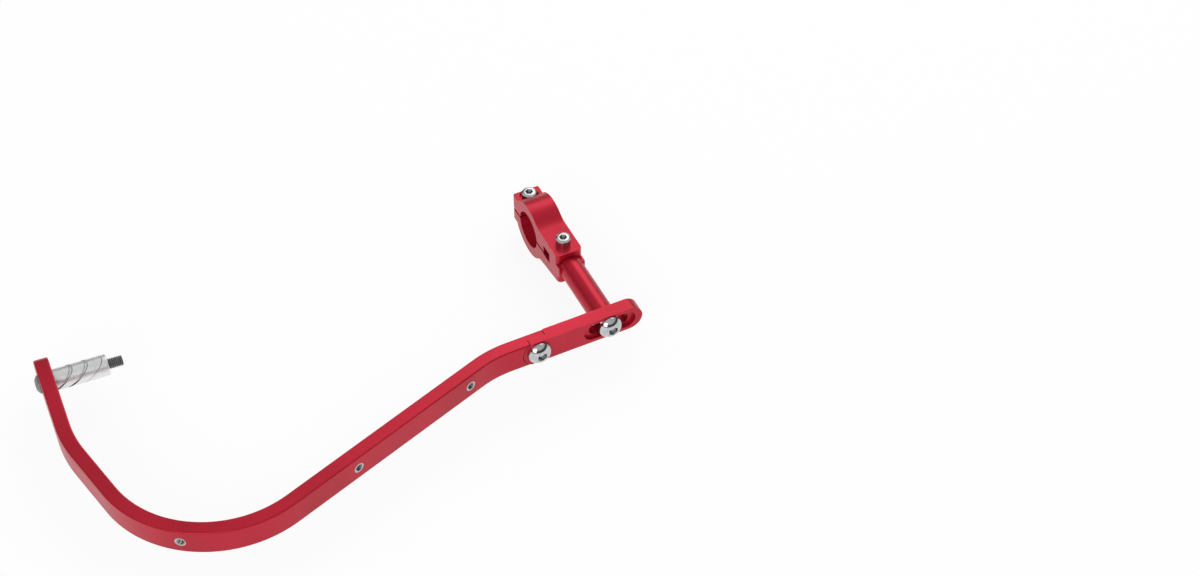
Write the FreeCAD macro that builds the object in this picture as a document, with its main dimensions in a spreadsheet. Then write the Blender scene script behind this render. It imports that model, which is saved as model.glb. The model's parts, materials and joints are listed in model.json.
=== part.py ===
"""Motorcycle hand guard: a bent flat bar on a handlebar clamp, with an expanding plug at its outer end.

Millimetres, +Z up. The origin is the centre of the handlebar clamp's bore, +X runs along the bore
away from the guard's leg, and +Y points back towards the rider.
"""
import FreeCAD, Part
import math
import os
import re
import Sketcher

SIZES = {
    # Bent bar
    "bar_height": 16.0,
    "bar_thickness": 8.0,
    "bar_edge": 0.8,
    "first_bend_start": 16.5,
    "first_bend_angle": 18.6,
    "first_bend_radius": 61.7,
    "front_run": 129.6,
    "corner_angle": 96.2,
    "corner_radius": 63.3,
    "corner_run": 31.9,
    "last_bend_angle": 16.3,
    "last_bend_radius": 77.3,
    "leg_run": 39.0,
    "tip_reach": 6.9,
    # Link and its half-lap joint with the bar
    "screw_pitch": 43.0,
    "link_inner_reach": 20.0,
    "lap_corner": 4.7,
    "lap_gap": 0.4,
    "nose_overcut": 0.1,
    "slot_length": 24.0,
    "counterbore_length": 31.5,
    "counterbore_width": 11.6,
    "counterbore_depth": 2.0,
    # Handlebar clamp
    "bore_diameter": 22.2,
    "clamp_width": 16.0,
    "clamp_reach": 85.0,
    "crown_radius": 17.5,
    "split_gap": 1.5,
    "rear_screw_inset": 2.1,
    "rear_ear_overhang": 3.0,
    "rear_ear_height": 10.4,
    "rear_seat_depth": 1.8,
    "rear_ear_depth": 8.0,
    "spot_face": 11.2,
    "front_screw_offset": 29.8,
    "cap_ear_margin": 8.4,
    "cap_ear_thickness": 7.0,
    "cap_ear_blend": 14.0,
    "base_ear_margin": 10.8,
    "base_ear_tip": 4.8,
    "base_ear_root": 9.0,
    "base_ear_blend": 8.0,
    "ear_corner": 2.5,
    "rear_corner": 1.0,
    "clamp_edge": 0.5,
    "seat_drop": 0.4,
    "eye_room": 1.5,
    # Post
    "post_diameter": 14.0,
    "post_room": 0.5,
    "post_edge": 0.6,
    "tang_thickness": 7.0,
    "post_thread_depth": 18.0,
    # Screws of the link, the clamp and the plug
    "link_screw_diameter": 8.0,
    "link_screw_head": 14.0,
    "link_screw_head_height": 4.4,
    "link_screw_rim": 1.0,
    "link_screw_top": 7.0,
    "link_screw_socket": 5.0,
    "link_screw_socket_depth": 2.6,
    "slot_screw_grip": 14.0,
    "clamp_screw_diameter": 5.0,
    "clamp_screw_head": 8.5,
    "clamp_screw_head_height": 5.0,
    "clamp_screw_rim": 4.4,
    "clamp_screw_top": 6.2,
    "clamp_screw_socket": 4.0,
    "clamp_screw_socket_depth": 2.5,
    "clamp_thread_grip": 5.4,
    "plug_screw_diameter": 6.0,
    "plug_screw_head": 10.5,
    "plug_screw_head_height": 2.4,
    "plug_screw_rim": 0.6,
    "plug_screw_top": 5.2,
    "plug_screw_socket": 4.0,
    "plug_screw_socket_depth": 1.5,
    "plug_screw_tip": 8.0,
    "crown_share": 0.7,
    "screw_clearance": 0.2,
    "thread_clearance": 0.05,
    # Thread inserts
    "insert_diameter": 6.0,
    "insert_bore": 4.2,
    "insert_fit": 0.02,
    "near_insert": 9.0,
    "far_insert": 88.2,
    "corner_insert_angle": 54.0,
    # Expanding plug
    "plug_diameter": 12.0,
    "plug_length": 29.5,
    "sleeve_short_side": 11.5,
    "sleeve_long_side": 26.5,
    "wedge_gap": 0.4,
    "plug_chamfer": 1.0,
}

# Heights and reaches that several pieces share, as expressions of the sizes above.
HALF_HEIGHT = "bar_height / 2"
HALF_THICKNESS = "bar_thickness / 2"
HALF_GAP = "split_gap / 2"
SEAT_HEIGHT = "(0 - split_gap / 2 - seat_drop)"
RISE = "(tang_thickness / 2 - split_gap / 2 - seat_drop)"
EAR_UNDERSIDE = "(tang_thickness - split_gap / 2 - seat_drop)"
EAR_TOP = "(tang_thickness - split_gap / 2 - seat_drop + cap_ear_thickness)"
LEG_LENGTH = "(leg_run + tip_reach)"
REAR_END = "(crown_radius + rear_ear_overhang)"
REAR_SCREW = "(crown_radius - rear_screw_inset)"
REAR_SEAT = "(rear_ear_height - rear_seat_depth)"
EYE_ROOM_END = "(front_screw_offset - clamp_width / 2 - eye_room)"
CAP_FRONT = "(front_screw_offset + cap_ear_margin)"
BASE_FRONT = "(front_screw_offset + base_ear_margin)"
NOSE_RADIUS = "sqrt(lap_corner ^ 2 + (bar_height / 2) ^ 2)"
SHOULDER_RADIUS = "(sqrt(lap_corner ^ 2 + (bar_height / 2) ^ 2) + lap_gap)"
POST_START = "(0 - clamp_reach + bar_thickness / 2)"
THROUGH_BAR = "bar_thickness * 2"
THROUGH_CLAMP = "crown_radius * 4"
HALF_TURN = 180.0
TOLERANCE = 0.01

doc = FreeCAD.newDocument("hand_guard")
sheet = doc.addObject("Spreadsheet::Sheet", "sizes")
for row, (alias, size) in enumerate(SIZES.items(), start=1):
    sheet.set(f"A{row}", alias)
    sheet.set(f"B{row}", str(size))
    sheet.setAlias(f"B{row}", alias)
doc.recompute()
nodes = []


def bound(expression):
    """Write an expression of size names as the document reads it."""
    return re.sub(r"[a-z_]{4,}", lambda word: sheet_name(word.group()), expression)


def sheet_name(word):
    """Put the sheet's name before a size's alias, and leave other words as they are."""
    if word in SIZES:
        return "sizes." + word
    return word


def number(expression):
    """Work out an expression of size names."""
    result = sheet.evalExpression(bound(expression))
    return float(getattr(result, "Value", result))


def bind(item, path, expression):
    """Tie one property of an object to the sheet."""
    item.setExpression(path, bound(expression))


def new_body(label, place=None):
    """Start a sub-part, with its own origin tied to a place where one is given."""
    body = doc.addObject("PartDesign::Body", label)
    body.Label = label
    for axis, expression in zip("xyz", place or ()):
        bind(body, f"Placement.Base.{axis}", expression)
    nodes.append(body)
    return body


def new_sketch(body, name, role, offset="0"):
    """Start a sketch on one of the body's origin planes, moved along the plane's normal."""
    sketch = body.newObject("Sketcher::SketchObject", f"{body.Name}_{name}")
    plane = next(item for item in body.Origin.OriginFeatures if item.Role == role)
    sketch.AttachmentSupport = [(plane, "")]
    sketch.MapMode = "FlatFace"
    bind(sketch, "AttachmentOffset.Base.z", offset)
    return sketch


def constrain(sketch, expression, kind, *references):
    """Add one dimension to a sketch and tie it to the sheet."""
    size = number(expression)
    index = sketch.addConstraint(Sketcher.Constraint(kind, *references, size))
    bind(sketch, f"Constraints[{index}]", expression)


def pin(sketch, axis, geometry, point, expression):
    """Hold one coordinate of a sketch point at a value from the sheet."""
    size = number(expression)
    kind = {"x": "DistanceX", "y": "DistanceY"}[axis]
    if abs(size) < TOLERANCE:
        other_axis = {"x": -2, "y": -1}[axis]
        sketch.addConstraint(Sketcher.Constraint("PointOnObject", geometry, point, other_axis))
    elif size > 0:
        constrain(sketch, expression, kind, -1, 1, geometry, point)
    else:
        constrain(sketch, f"0 - ({expression})", kind, geometry, point, -1, 1)


def line(x, y):
    """A straight stretch of a loop, to the given point."""
    return {"end": (x, y), "turn": 0}


def bow(x, y, radius, turn):
    """An arc of a loop to the given point; turn is 1 for anticlockwise and -1 for clockwise."""
    return {"end": (x, y), "turn": turn, "radius": radius}


def half_round(x, y, centre, turn):
    """Half a circle of a loop about a centre, to the given point."""
    return {"end": (x, y), "turn": turn, "centre": centre}


def arc_between(start, end, turn, centre):
    """Make an arc about a centre; sketch arcs always run anticlockwise."""
    first, last = (start, end) if turn > 0 else (end, start)
    angles = [math.atan2(point.y - centre.y, point.x - centre.x) for point in (first, last)]
    if angles[1] < angles[0]:
        angles[1] += 2 * math.pi
    circle = Part.Circle(centre, FreeCAD.Vector(0, 0, 1), start.distanceToPoint(centre))
    return Part.ArcOfCircle(circle, angles[0], angles[1])


def bow_centre(start, end, radius, turn):
    """Find the centre of an arc of less than half a circle."""
    chord = end - start
    height = math.sqrt(radius ** 2 - chord.Length ** 2 / 4)
    across = FreeCAD.Vector(-chord.y, chord.x, 0).normalize()
    return (start + end) * 0.5 + across * height * turn


def draw_loop(sketch, *stretches):
    """Draw a closed loop of straight and round stretches, with every corner tied to the sheet."""
    corners = [FreeCAD.Vector(number(item["end"][0]), number(item["end"][1]), 0) for item in stretches]
    ends = []
    for index, item in enumerate(stretches):
        start = corners[index - 1]
        end = corners[index]
        if item["turn"] == 0:
            geometry = sketch.addGeometry(Part.LineSegment(start, end))
        elif "radius" in item:
            centre = bow_centre(start, end, number(item["radius"]), item["turn"])
            geometry = sketch.addGeometry(arc_between(start, end, item["turn"], centre))
        else:
            centre = FreeCAD.Vector(number(item["centre"][0]), number(item["centre"][1]), 0)
            geometry = sketch.addGeometry(arc_between(start, end, item["turn"], centre))
        ends.append((geometry, 1, 2) if item["turn"] >= 0 else (geometry, 2, 1))
    for index, item in enumerate(stretches):
        geometry, first, last = ends[index]
        following = ends[(index + 1) % len(ends)]
        sketch.addConstraint(Sketcher.Constraint("Coincident", geometry, last, following[0], following[1]))
    for index, item in enumerate(stretches):
        geometry, first, last = ends[index]
        end_x, end_y = item["end"]
        if "centre" in item:
            centre_x, centre_y = item["centre"]
            pin(sketch, "x", geometry, 3, centre_x)
            pin(sketch, "y", geometry, 3, centre_y)
            level = near(number(end_y), centre_y)
            pin(sketch, "y" if level else "x", geometry, last, end_y if level else end_x)
            continue
        pin(sketch, "x", geometry, last, end_x)
        pin(sketch, "y", geometry, last, end_y)
        if "radius" in item:
            constrain(sketch, item["radius"], "Radius", geometry)


def draw_box(sketch, left, right, low, high):
    """Draw a rectangle between two pairs of coordinates."""
    draw_loop(sketch, line(right, low), line(right, high), line(left, high), line(left, low))


def draw_circle(sketch, x, y, radius):
    """Draw a circle tied to the sheet."""
    centre = FreeCAD.Vector(number(x), number(y), 0)
    circle = sketch.addGeometry(Part.Circle(centre, FreeCAD.Vector(0, 0, 1), number(radius)))
    pin(sketch, "x", circle, 3, x)
    pin(sketch, "y", circle, 3, y)
    constrain(sketch, radius, "Radius", circle)


def draw_slot(sketch, length, width):
    """Draw a slot with round ends, centred on the sketch's origin and lying along its x axis."""
    half = f"({length} / 2 - {width} / 2)"
    side = f"({width} / 2)"
    draw_loop(
        sketch,
        line(half, f"0 - {side}"),
        half_round(half, side, (half, "0"), 1),
        line(f"0 - {half}", side),
        half_round(f"0 - {half}", f"0 - {side}", (f"0 - {half}", "0"), 1),
    )


def draw_hexagon(sketch, across_flats):
    """Draw a hexagon round the sketch's origin."""
    reach = f"({across_flats} / sqrt(3))"
    side = f"({across_flats} / 2)"
    draw_loop(
        sketch,
        line(reach, "0"),
        line(f"{reach} / 2", side),
        line(f"0 - {reach} / 2", side),
        line(f"0 - {reach}", "0"),
        line(f"0 - {reach} / 2", f"0 - {side}"),
        line(f"{reach} / 2", f"0 - {side}"),
    )


def settle(feature):
    """Recompute the document and stop if the new feature failed."""
    doc.recompute()
    if "Invalid" in feature.State or "Error" in feature.State:
        raise RuntimeError(f"{feature.Name}: {feature.getStatusString()}")
    return feature


def add_pad(body, sketch, length, side="One side", reverse=False):
    """Raise a sketch into a solid."""
    pad = body.newObject("PartDesign::Pad", f"{sketch.Name}_pad")
    pad.Profile = sketch
    pad.SideType = side
    pad.Reversed = reverse
    bind(pad, "Length", length)
    return settle(pad)


def cut(body, sketch, length, side="One side", reverse=False):
    """Cut a sketch out of the body, and make sure that it took material away."""
    before = body.Shape.Volume
    pocket = body.newObject("PartDesign::Pocket", f"{sketch.Name}_cut")
    pocket.Profile = sketch
    pocket.SideType = side
    pocket.Reversed = reverse
    bind(pocket, "Length", length)
    settle(pocket)
    if body.Shape.Volume > before - TOLERANCE:
        raise RuntimeError(f"{pocket.Name} cuts nothing")
    return pocket


def drill(body, name, role, x, y, radius, depth, side="Symmetric", offset="0", reverse=False):
    """Cut a round hole square to one of the body's origin planes."""
    sketch = new_sketch(body, name, role, offset)
    draw_circle(sketch, x, y, radius)
    return cut(body, sketch, depth, side, reverse)


def ease_edges(body, kind, name, size, chosen):
    """Fillet or chamfer those edges of the body that a test picks."""
    base = body.Tip
    edges = [f"Edge{index}" for index, edge in enumerate(base.Shape.Edges, start=1) if chosen(edge)]
    if not edges:
        raise RuntimeError(f"{body.Label} has no edge for {name}")
    feature = body.newObject(f"PartDesign::{kind}", f"{body.Name}_{name}")
    feature.Base = (base, edges)
    bind(feature, {"Fillet": "Radius", "Chamfer": "Size"}[kind], size)
    return settle(feature)


def near(value, expression):
    """Tell whether a measured value equals an expression of the sizes."""
    return abs(value - number(expression)) < TOLERANCE


def runs_along(edge, axis):
    """Tell whether an edge is a straight one along the x, y or z axis."""
    box = edge.BoundBox
    spans = {"x": box.XLength, "y": box.YLength, "z": box.ZLength}
    return all(span < TOLERANCE for name, span in spans.items() if name != axis)


def bar_stations():
    """Follow the bar's centreline from the lap screw outwards, one station at the end of each stretch."""
    place = FreeCAD.Vector(-number("first_bend_start"), 0, 0)
    heading = 180.0
    stations = [(place, heading)]
    bends = (
        ("first_bend_angle", "first_bend_radius", "front_run", 1),
        ("corner_angle", "corner_radius", "corner_run", -1),
        ("last_bend_angle", "last_bend_radius", LEG_LENGTH, -1),
    )
    for angle, radius, run, turn in bends:
        place, heading = round_bend(place, heading, number(radius), number(angle), turn)
        stations.append((place, heading))
        place = place + along(heading) * number(run)
        stations.append((place, heading))
    return stations


def plug_station():
    """Place and heading of the plug's axis on the leg."""
    tip, heading = bar_stations()[-1]
    return tip - along(heading) * number("tip_reach"), heading


def along(heading):
    """Unit vector at a heading in degrees."""
    return FreeCAD.Vector(math.cos(math.radians(heading)), math.sin(math.radians(heading)), 0)


def round_bend(place, heading, radius, angle, turn):
    """Move a place and heading round a bend, anticlockwise for a turn of 1."""
    centre = place + along(heading + 90 * turn) * radius
    end_heading = heading + angle * turn
    return centre - along(end_heading + 90 * turn) * radius, end_heading


def turned(place, heading):
    """Placement at a station of the bar, with its y axis square to the bar and on the hand's side."""
    return FreeCAD.Placement(place, FreeCAD.Rotation(FreeCAD.Vector(0, 0, 1), heading - 180))


def insert_stations():
    """Name, place and heading of each thread insert along the bar."""
    stations = bar_stations()
    run_start, run_heading = stations[1]
    corner_start, corner_heading = stations[2]
    corner = round_bend(
        corner_start, corner_heading, number("corner_radius"), number("corner_insert_angle"), -1
    )
    return (
        ("near", run_start + along(run_heading) * number("near_insert"), run_heading),
        ("far", run_start + along(run_heading) * number("far_insert"), run_heading),
        ("corner", corner[0], corner[1]),
    )


def place_sketch(sketch, place, heading):
    """Turn a sketch on the XZ plane so that it faces the bar at a station."""
    spin = FreeCAD.Rotation(FreeCAD.Vector(0, 1, 0), heading - 180)
    sketch.AttachmentOffset = FreeCAD.Placement(FreeCAD.Vector(place.x, 0, -place.y), spin)


def station_sketch(body, name, place, heading):
    """Start a sketch that faces the bar at one of its stations."""
    sketch = body.newObject("Sketcher::SketchObject", f"{body.Name}_{name}")
    plane = next(item for item in body.Origin.OriginFeatures if item.Role == "XZ_Plane")
    sketch.AttachmentSupport = [(plane, "")]
    sketch.MapMode = "FlatFace"
    place_sketch(sketch, place, heading)
    return sketch


def bar_path(body):
    """Draw the bar's centreline: four straight runs joined by three tangent bends."""
    sketch = new_sketch(body, "path", "XY_Plane")
    stations = bar_stations()
    points = [FreeCAD.Vector(number(NOSE_RADIUS), 0, 0)]
    points += [place for place, heading in stations]
    bends = (
        ("first_bend_angle", "first_bend_radius", 1),
        ("corner_angle", "corner_radius", -1),
        ("last_bend_angle", "last_bend_radius", -1),
    )
    runs = [sketch.addGeometry(Part.LineSegment(points[0], points[1]))]
    arcs = []
    for index, (angle, radius, turn) in enumerate(bends):
        start, heading = stations[2 * index]
        end = stations[2 * index + 1][0]
        centre = start + along(heading + 90 * turn) * number(radius)
        arcs.append(sketch.addGeometry(arc_between(start, end, turn, centre)))
        runs.append(sketch.addGeometry(Part.LineSegment(end, stations[2 * index + 2][0])))
    pin(sketch, "x", runs[0], 1, NOSE_RADIUS)
    pin(sketch, "y", runs[0], 1, "0")
    pin(sketch, "x", runs[0], 2, "0 - first_bend_start")
    pin(sketch, "y", runs[0], 2, "0")
    for arc, before, after, (angle, radius, turn) in zip(arcs, runs, runs[1:], bends):
        first, last = (1, 2) if turn > 0 else (2, 1)
        sketch.addConstraint(Sketcher.Constraint("Tangent", before, 2, arc, first))
        sketch.addConstraint(Sketcher.Constraint("Tangent", arc, last, after, 1))
        constrain(sketch, radius, "Radius", arc)
        span = sketch.addConstraint(Sketcher.Constraint("Angle", arc, math.radians(number(angle))))
        bind(sketch, f"Constraints[{span}]", f"{angle} * 1deg")
    for run, length in zip(runs[1:], ("front_run", "corner_run", LEG_LENGTH)):
        constrain(sketch, length, "Distance", run)
    doc.recompute()
    return sketch


def bar_section(body):
    """Draw the bar's section, a rectangle with bevelled corners, at the start of the path."""
    sketch = new_sketch(body, "section", "YZ_Plane", NOSE_RADIUS)
    flat_y = f"({HALF_THICKNESS} - bar_edge)"
    flat_z = f"({HALF_HEIGHT} - bar_edge)"
    draw_loop(
        sketch,
        line(flat_y, f"0 - {HALF_HEIGHT}"),
        line(HALF_THICKNESS, f"0 - {flat_z}"),
        line(HALF_THICKNESS, flat_z),
        line(flat_y, HALF_HEIGHT),
        line(f"0 - {flat_y}", HALF_HEIGHT),
        line(f"0 - {HALF_THICKNESS}", flat_z),
        line(f"0 - {HALF_THICKNESS}", f"0 - {flat_z}"),
        line(f"0 - {flat_y}", f"0 - {HALF_HEIGHT}"),
    )
    return sketch


def make_guard_bar():
    """Bent bar: swept section, round tip past the plug, half-lap tongue at the link, holes for inserts."""
    body = new_body("guard_bar", ("0 - screw_pitch", "0 - clamp_reach", RISE))
    path = bar_path(body)
    section = bar_section(body)
    sweep = body.newObject("PartDesign::AdditivePipe", "guard_bar_sweep")
    sweep.Profile = section
    sweep.Spine = (path, [])
    sweep.Transition = "Right corner"
    settle(sweep)

    round_tip(body, *bar_stations()[-1])
    nose = new_sketch(body, "nose", "XZ_Plane")
    past_edge = f"({HALF_HEIGHT} + nose_overcut)"
    nose_corner = f"sqrt({NOSE_RADIUS} ^ 2 - {past_edge} ^ 2)"
    past_nose = f"({NOSE_RADIUS} + lap_corner)"
    draw_loop(
        nose,
        bow(nose_corner, past_edge, NOSE_RADIUS, 1),
        line(past_nose, past_edge),
        line(past_nose, f"0 - {past_edge}"),
        line(nose_corner, f"0 - {past_edge}"),
    )
    cut(body, nose, THROUGH_BAR, "Symmetric")
    drill(body, "shoulder", "XZ_Plane", "0", "0", SHOULDER_RADIUS, HALF_THICKNESS, "One side", reverse=True)
    drill(body, "screw_hole", "XZ_Plane", "0", "0", hole("link_screw", "thread"), THROUGH_BAR)

    plug_hole = station_sketch(body, "plug_hole", *plug_station())
    draw_circle(plug_hole, "0", "0", hole("plug_screw", "screw"))
    cut(body, plug_hole, THROUGH_BAR, "Symmetric")
    for name, place, heading in insert_stations():
        sketch = station_sketch(body, f"{name}_hole", place, heading)
        draw_circle(sketch, "0", "0", "insert_diameter / 2 + insert_fit")
        cut(body, sketch, THROUGH_BAR, "Symmetric")
    return body


def round_tip(body, place, heading):
    """Turn half of the bar's section about a place near its end, for the full-round tip."""
    sketch = body.newObject("Sketcher::SketchObject", "guard_bar_tip")
    plane = next(item for item in body.Origin.OriginFeatures if item.Role == "YZ_Plane")
    sketch.AttachmentSupport = [(plane, "")]
    sketch.MapMode = "FlatFace"
    spin = FreeCAD.Rotation(FreeCAD.Vector(0, 1, 0), heading - 180)
    sketch.AttachmentOffset = FreeCAD.Placement(FreeCAD.Vector(place.y, 0, place.x), spin)
    flat_y = f"({HALF_THICKNESS} - bar_edge)"
    flat_z = f"({HALF_HEIGHT} - bar_edge)"
    draw_loop(
        sketch,
        line(HALF_THICKNESS, "0"),
        line(HALF_THICKNESS, flat_z),
        line(flat_y, HALF_HEIGHT),
        line(f"0 - {flat_y}", HALF_HEIGHT),
        line(f"0 - {HALF_THICKNESS}", flat_z),
        line(f"0 - {HALF_THICKNESS}", "0"),
    )
    turn = body.newObject("PartDesign::Revolution", "guard_bar_tip_turn")
    turn.Profile = sketch
    turn.ReferenceAxis = (sketch, ["H_Axis"])
    turn.Angle = HALF_TURN
    turn.Reversed = True
    settle(turn)


def is_circle(edge, radius):
    """Tell whether an edge is an arc of the given radius."""
    return edge.Curve.TypeId == "Part::GeomCircle" and near(edge.Curve.Radius, radius)


def hole(family, fit):
    """Radius of a hole for a screw, with a clearance for its shank or its thread."""
    return f"({family}_diameter / 2 + {fit}_clearance)"


def make_mount_link():
    """Flat link: round inner end, half-lap tongue, adjusting slot with a counterbore for the screw's head."""
    body = new_body("mount_link", ("0", "0 - clamp_reach", RISE))
    outline = new_sketch(body, "outline", "XZ_Plane")
    round_centre = f"(link_inner_reach - {HALF_HEIGHT})"
    nose_corner = "(0 - screw_pitch - lap_corner)"
    draw_loop(
        outline,
        half_round(round_centre, HALF_HEIGHT, (round_centre, "0"), 1),
        line(nose_corner, HALF_HEIGHT),
        bow(nose_corner, f"0 - {HALF_HEIGHT}", NOSE_RADIUS, 1),
        line(round_centre, f"0 - {HALF_HEIGHT}"),
    )
    add_pad(body, outline, "bar_thickness", "Symmetric")
    ease_edges(body, "Chamfer", "edge", "bar_edge", lambda edge: edge.BoundBox.YLength < TOLERANCE)
    lap = new_sketch(body, "lap", "XZ_Plane")
    draw_circle(lap, "0 - screw_pitch", "0", SHOULDER_RADIUS)
    cut(body, lap, HALF_THICKNESS)
    drill(
        body, "screw_hole", "XZ_Plane", "0 - screw_pitch", "0",
        hole("link_screw", "screw"), THROUGH_BAR,
    )
    slot = new_sketch(body, "slot", "XZ_Plane")
    draw_slot(slot, "slot_length", "(link_screw_diameter + 2 * screw_clearance)")
    cut(body, slot, THROUGH_BAR, "Symmetric")
    counterbore = new_sketch(body, "counterbore", "XZ_Plane", HALF_THICKNESS)
    draw_slot(counterbore, "counterbore_length", "counterbore_width")
    cut(body, counterbore, "counterbore_depth")
    return body


def make_clamp_post():
    """Round post with a flat eye at its rear end and a threaded hole at its front end."""
    body = new_body("clamp_post", ("0", POST_START, RISE))
    eye = f"(0 - front_screw_offset - {POST_START})"
    upper_end = f"(0 - {CAP_FRONT} - post_room - {POST_START})"
    lower_end = f"(0 - {BASE_FRONT} - post_room - {POST_START})"
    side = "clamp_width / 2"
    shaft = new_sketch(body, "shaft", "XZ_Plane")
    draw_circle(shaft, "0", "0", "post_diameter / 2")
    add_pad(body, shaft, upper_end, reverse=True)
    relief = new_sketch(body, "relief", "YZ_Plane")
    draw_box(relief, lower_end, f"{upper_end} + post_room", "0 - post_diameter", "0 - tang_thickness / 2")
    cut(body, relief, "post_diameter * 2", "Symmetric")
    tang = new_sketch(body, "tang", "XY_Plane")
    draw_loop(
        tang,
        line(side, lower_end),
        line(side, eye),
        half_round(f"0 - {side}", eye, ("0", eye), 1),
        line(f"0 - {side}", lower_end),
    )
    add_pad(body, tang, "tang_thickness", "Symmetric")
    ease_edges(body, "Fillet", "edge", "post_edge", lambda edge: on_tang_side(edge, side))
    drill(body, "eye_hole", "XY_Plane", "0", eye, hole("clamp_screw", "screw"), "tang_thickness * 2")
    drill(
        body, "thread", "XZ_Plane", "0", "0", hole("link_screw", "thread"), "post_thread_depth", "One side",
    )
    ease_edges(body, "Chamfer", "mouth", "post_edge", lambda edge: is_post_mouth(edge))
    return body


def on_tang_side(edge, side):
    """Pick the upright edges at the front of the tang's two sides."""
    return runs_along(edge, "z") and near(abs(edge.BoundBox.XMax), side) and near(
        edge.BoundBox.YMax, f"(0 - {BASE_FRONT} - post_room - {POST_START})"
    )


def is_post_mouth(edge):
    """Pick the rim of the post's front face."""
    return is_circle(edge, "post_diameter / 2") and near(edge.BoundBox.YMax, "0")


def make_clamp_cap():
    """Upper clamp half: crowned saddle, rear ear with a spot face, long front ear over the post's eye."""
    body = new_body("clamp_cap")
    profile = new_sketch(body, "profile", "YZ_Plane")
    bore_edge = f"sqrt((bore_diameter / 2) ^ 2 - ({HALF_GAP}) ^ 2)"
    rear_crown = "sqrt(crown_radius ^ 2 - rear_ear_height ^ 2)"
    front_crown = f"(0 - sqrt(crown_radius ^ 2 - {EAR_TOP} ^ 2))"
    draw_loop(
        profile,
        line(REAR_END, HALF_GAP),
        line(REAR_END, "rear_ear_height"),
        line(rear_crown, "rear_ear_height"),
        bow(front_crown, EAR_TOP, "crown_radius", 1),
        line(f"0 - {CAP_FRONT}", EAR_TOP),
        line(f"0 - {CAP_FRONT}", EAR_UNDERSIDE),
        line(f"0 - {EYE_ROOM_END}", EAR_UNDERSIDE),
        line(f"0 - {EYE_ROOM_END}", HALF_GAP),
        line(f"0 - {bore_edge}", HALF_GAP),
        bow(bore_edge, HALF_GAP, "bore_diameter / 2", -1),
    )
    add_pad(body, profile, "clamp_width", "Symmetric")
    ease_edges(
        body, "Fillet", "blend", "cap_ear_blend", lambda edge: on_cross_edge(edge, front_crown, EAR_TOP)
    )
    round_corners(body, CAP_FRONT)
    ease_edges(body, "Chamfer", "sides", "clamp_edge", on_clamp_side)
    screw_holes(body, "screw")
    drill(
        body, "spot_face", "XY_Plane", "0", REAR_SCREW, "spot_face / 2",
        "crown_radius", "One side", REAR_SEAT, True,
    )
    return body


def on_cross_edge(edge, y, z):
    """Pick the edge across the clamp at the given place of its profile."""
    box = edge.BoundBox
    return runs_along(edge, "x") and near(box.YMax, y) and near(box.ZMax, z)


def is_upright_at(edge, y):
    """Pick the upright edges at the given end of a clamp half."""
    return runs_along(edge, "z") and near(edge.BoundBox.YMax, y)


def round_corners(body, reach):
    """Round the upright corners of a clamp half's front and rear ears."""
    front_end = f"0 - {reach}"
    ease_edges(body, "Fillet", "front_corners", "ear_corner", lambda edge: is_upright_at(edge, front_end))
    ease_edges(body, "Fillet", "rear_corners", "rear_corner", lambda edge: is_upright_at(edge, REAR_END))


def on_clamp_side(edge):
    """Pick the edges of a clamp half's two flat sides, apart from the bore's."""
    box = edge.BoundBox
    on_side = box.XLength < TOLERANCE and near(abs(box.XMax), "clamp_width / 2")
    return on_side and not is_circle(edge, "bore_diameter / 2")


def screw_holes(body, fit):
    """Drill both clamp screws' holes through a clamp half."""
    for name, place in (("front", "0 - front_screw_offset"), ("rear", REAR_SCREW)):
        drill(body, f"{name}_hole", "XY_Plane", "0", place, hole("clamp_screw", fit), THROUGH_CLAMP)


def make_clamp_base():
    """Lower clamp half: saddle, rear ear, and a tapering front ear that carries the post's eye."""
    body = new_body("clamp_base")
    profile = new_sketch(body, "profile", "YZ_Plane")
    bore_edge = f"sqrt((bore_diameter / 2) ^ 2 - ({HALF_GAP}) ^ 2)"
    rear_crown = "sqrt(crown_radius ^ 2 - rear_ear_depth ^ 2)"
    root_height = f"({SEAT_HEIGHT} - base_ear_root)"
    front_crown = f"(0 - sqrt(crown_radius ^ 2 - {root_height} ^ 2))"
    draw_loop(
        profile,
        line(f"0 - {EYE_ROOM_END}", f"0 - {HALF_GAP}"),
        line(f"0 - {EYE_ROOM_END}", SEAT_HEIGHT),
        line(f"0 - {BASE_FRONT}", SEAT_HEIGHT),
        line(f"0 - {BASE_FRONT}", f"{SEAT_HEIGHT} - base_ear_tip"),
        line(front_crown, root_height),
        bow(rear_crown, "0 - rear_ear_depth", "crown_radius", 1),
        line(REAR_END, "0 - rear_ear_depth"),
        line(REAR_END, f"0 - {HALF_GAP}"),
        line(bore_edge, f"0 - {HALF_GAP}"),
        bow(f"0 - {bore_edge}", f"0 - {HALF_GAP}", "bore_diameter / 2", -1),
    )
    add_pad(body, profile, "clamp_width", "Symmetric")
    ease_edges(
        body, "Fillet", "blend", "base_ear_blend", lambda edge: on_cross_edge(edge, front_crown, root_height)
    )
    round_corners(body, BASE_FRONT)
    ease_edges(body, "Chamfer", "sides", "clamp_edge", on_clamp_side)
    screw_holes(body, "thread")
    return body


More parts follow.
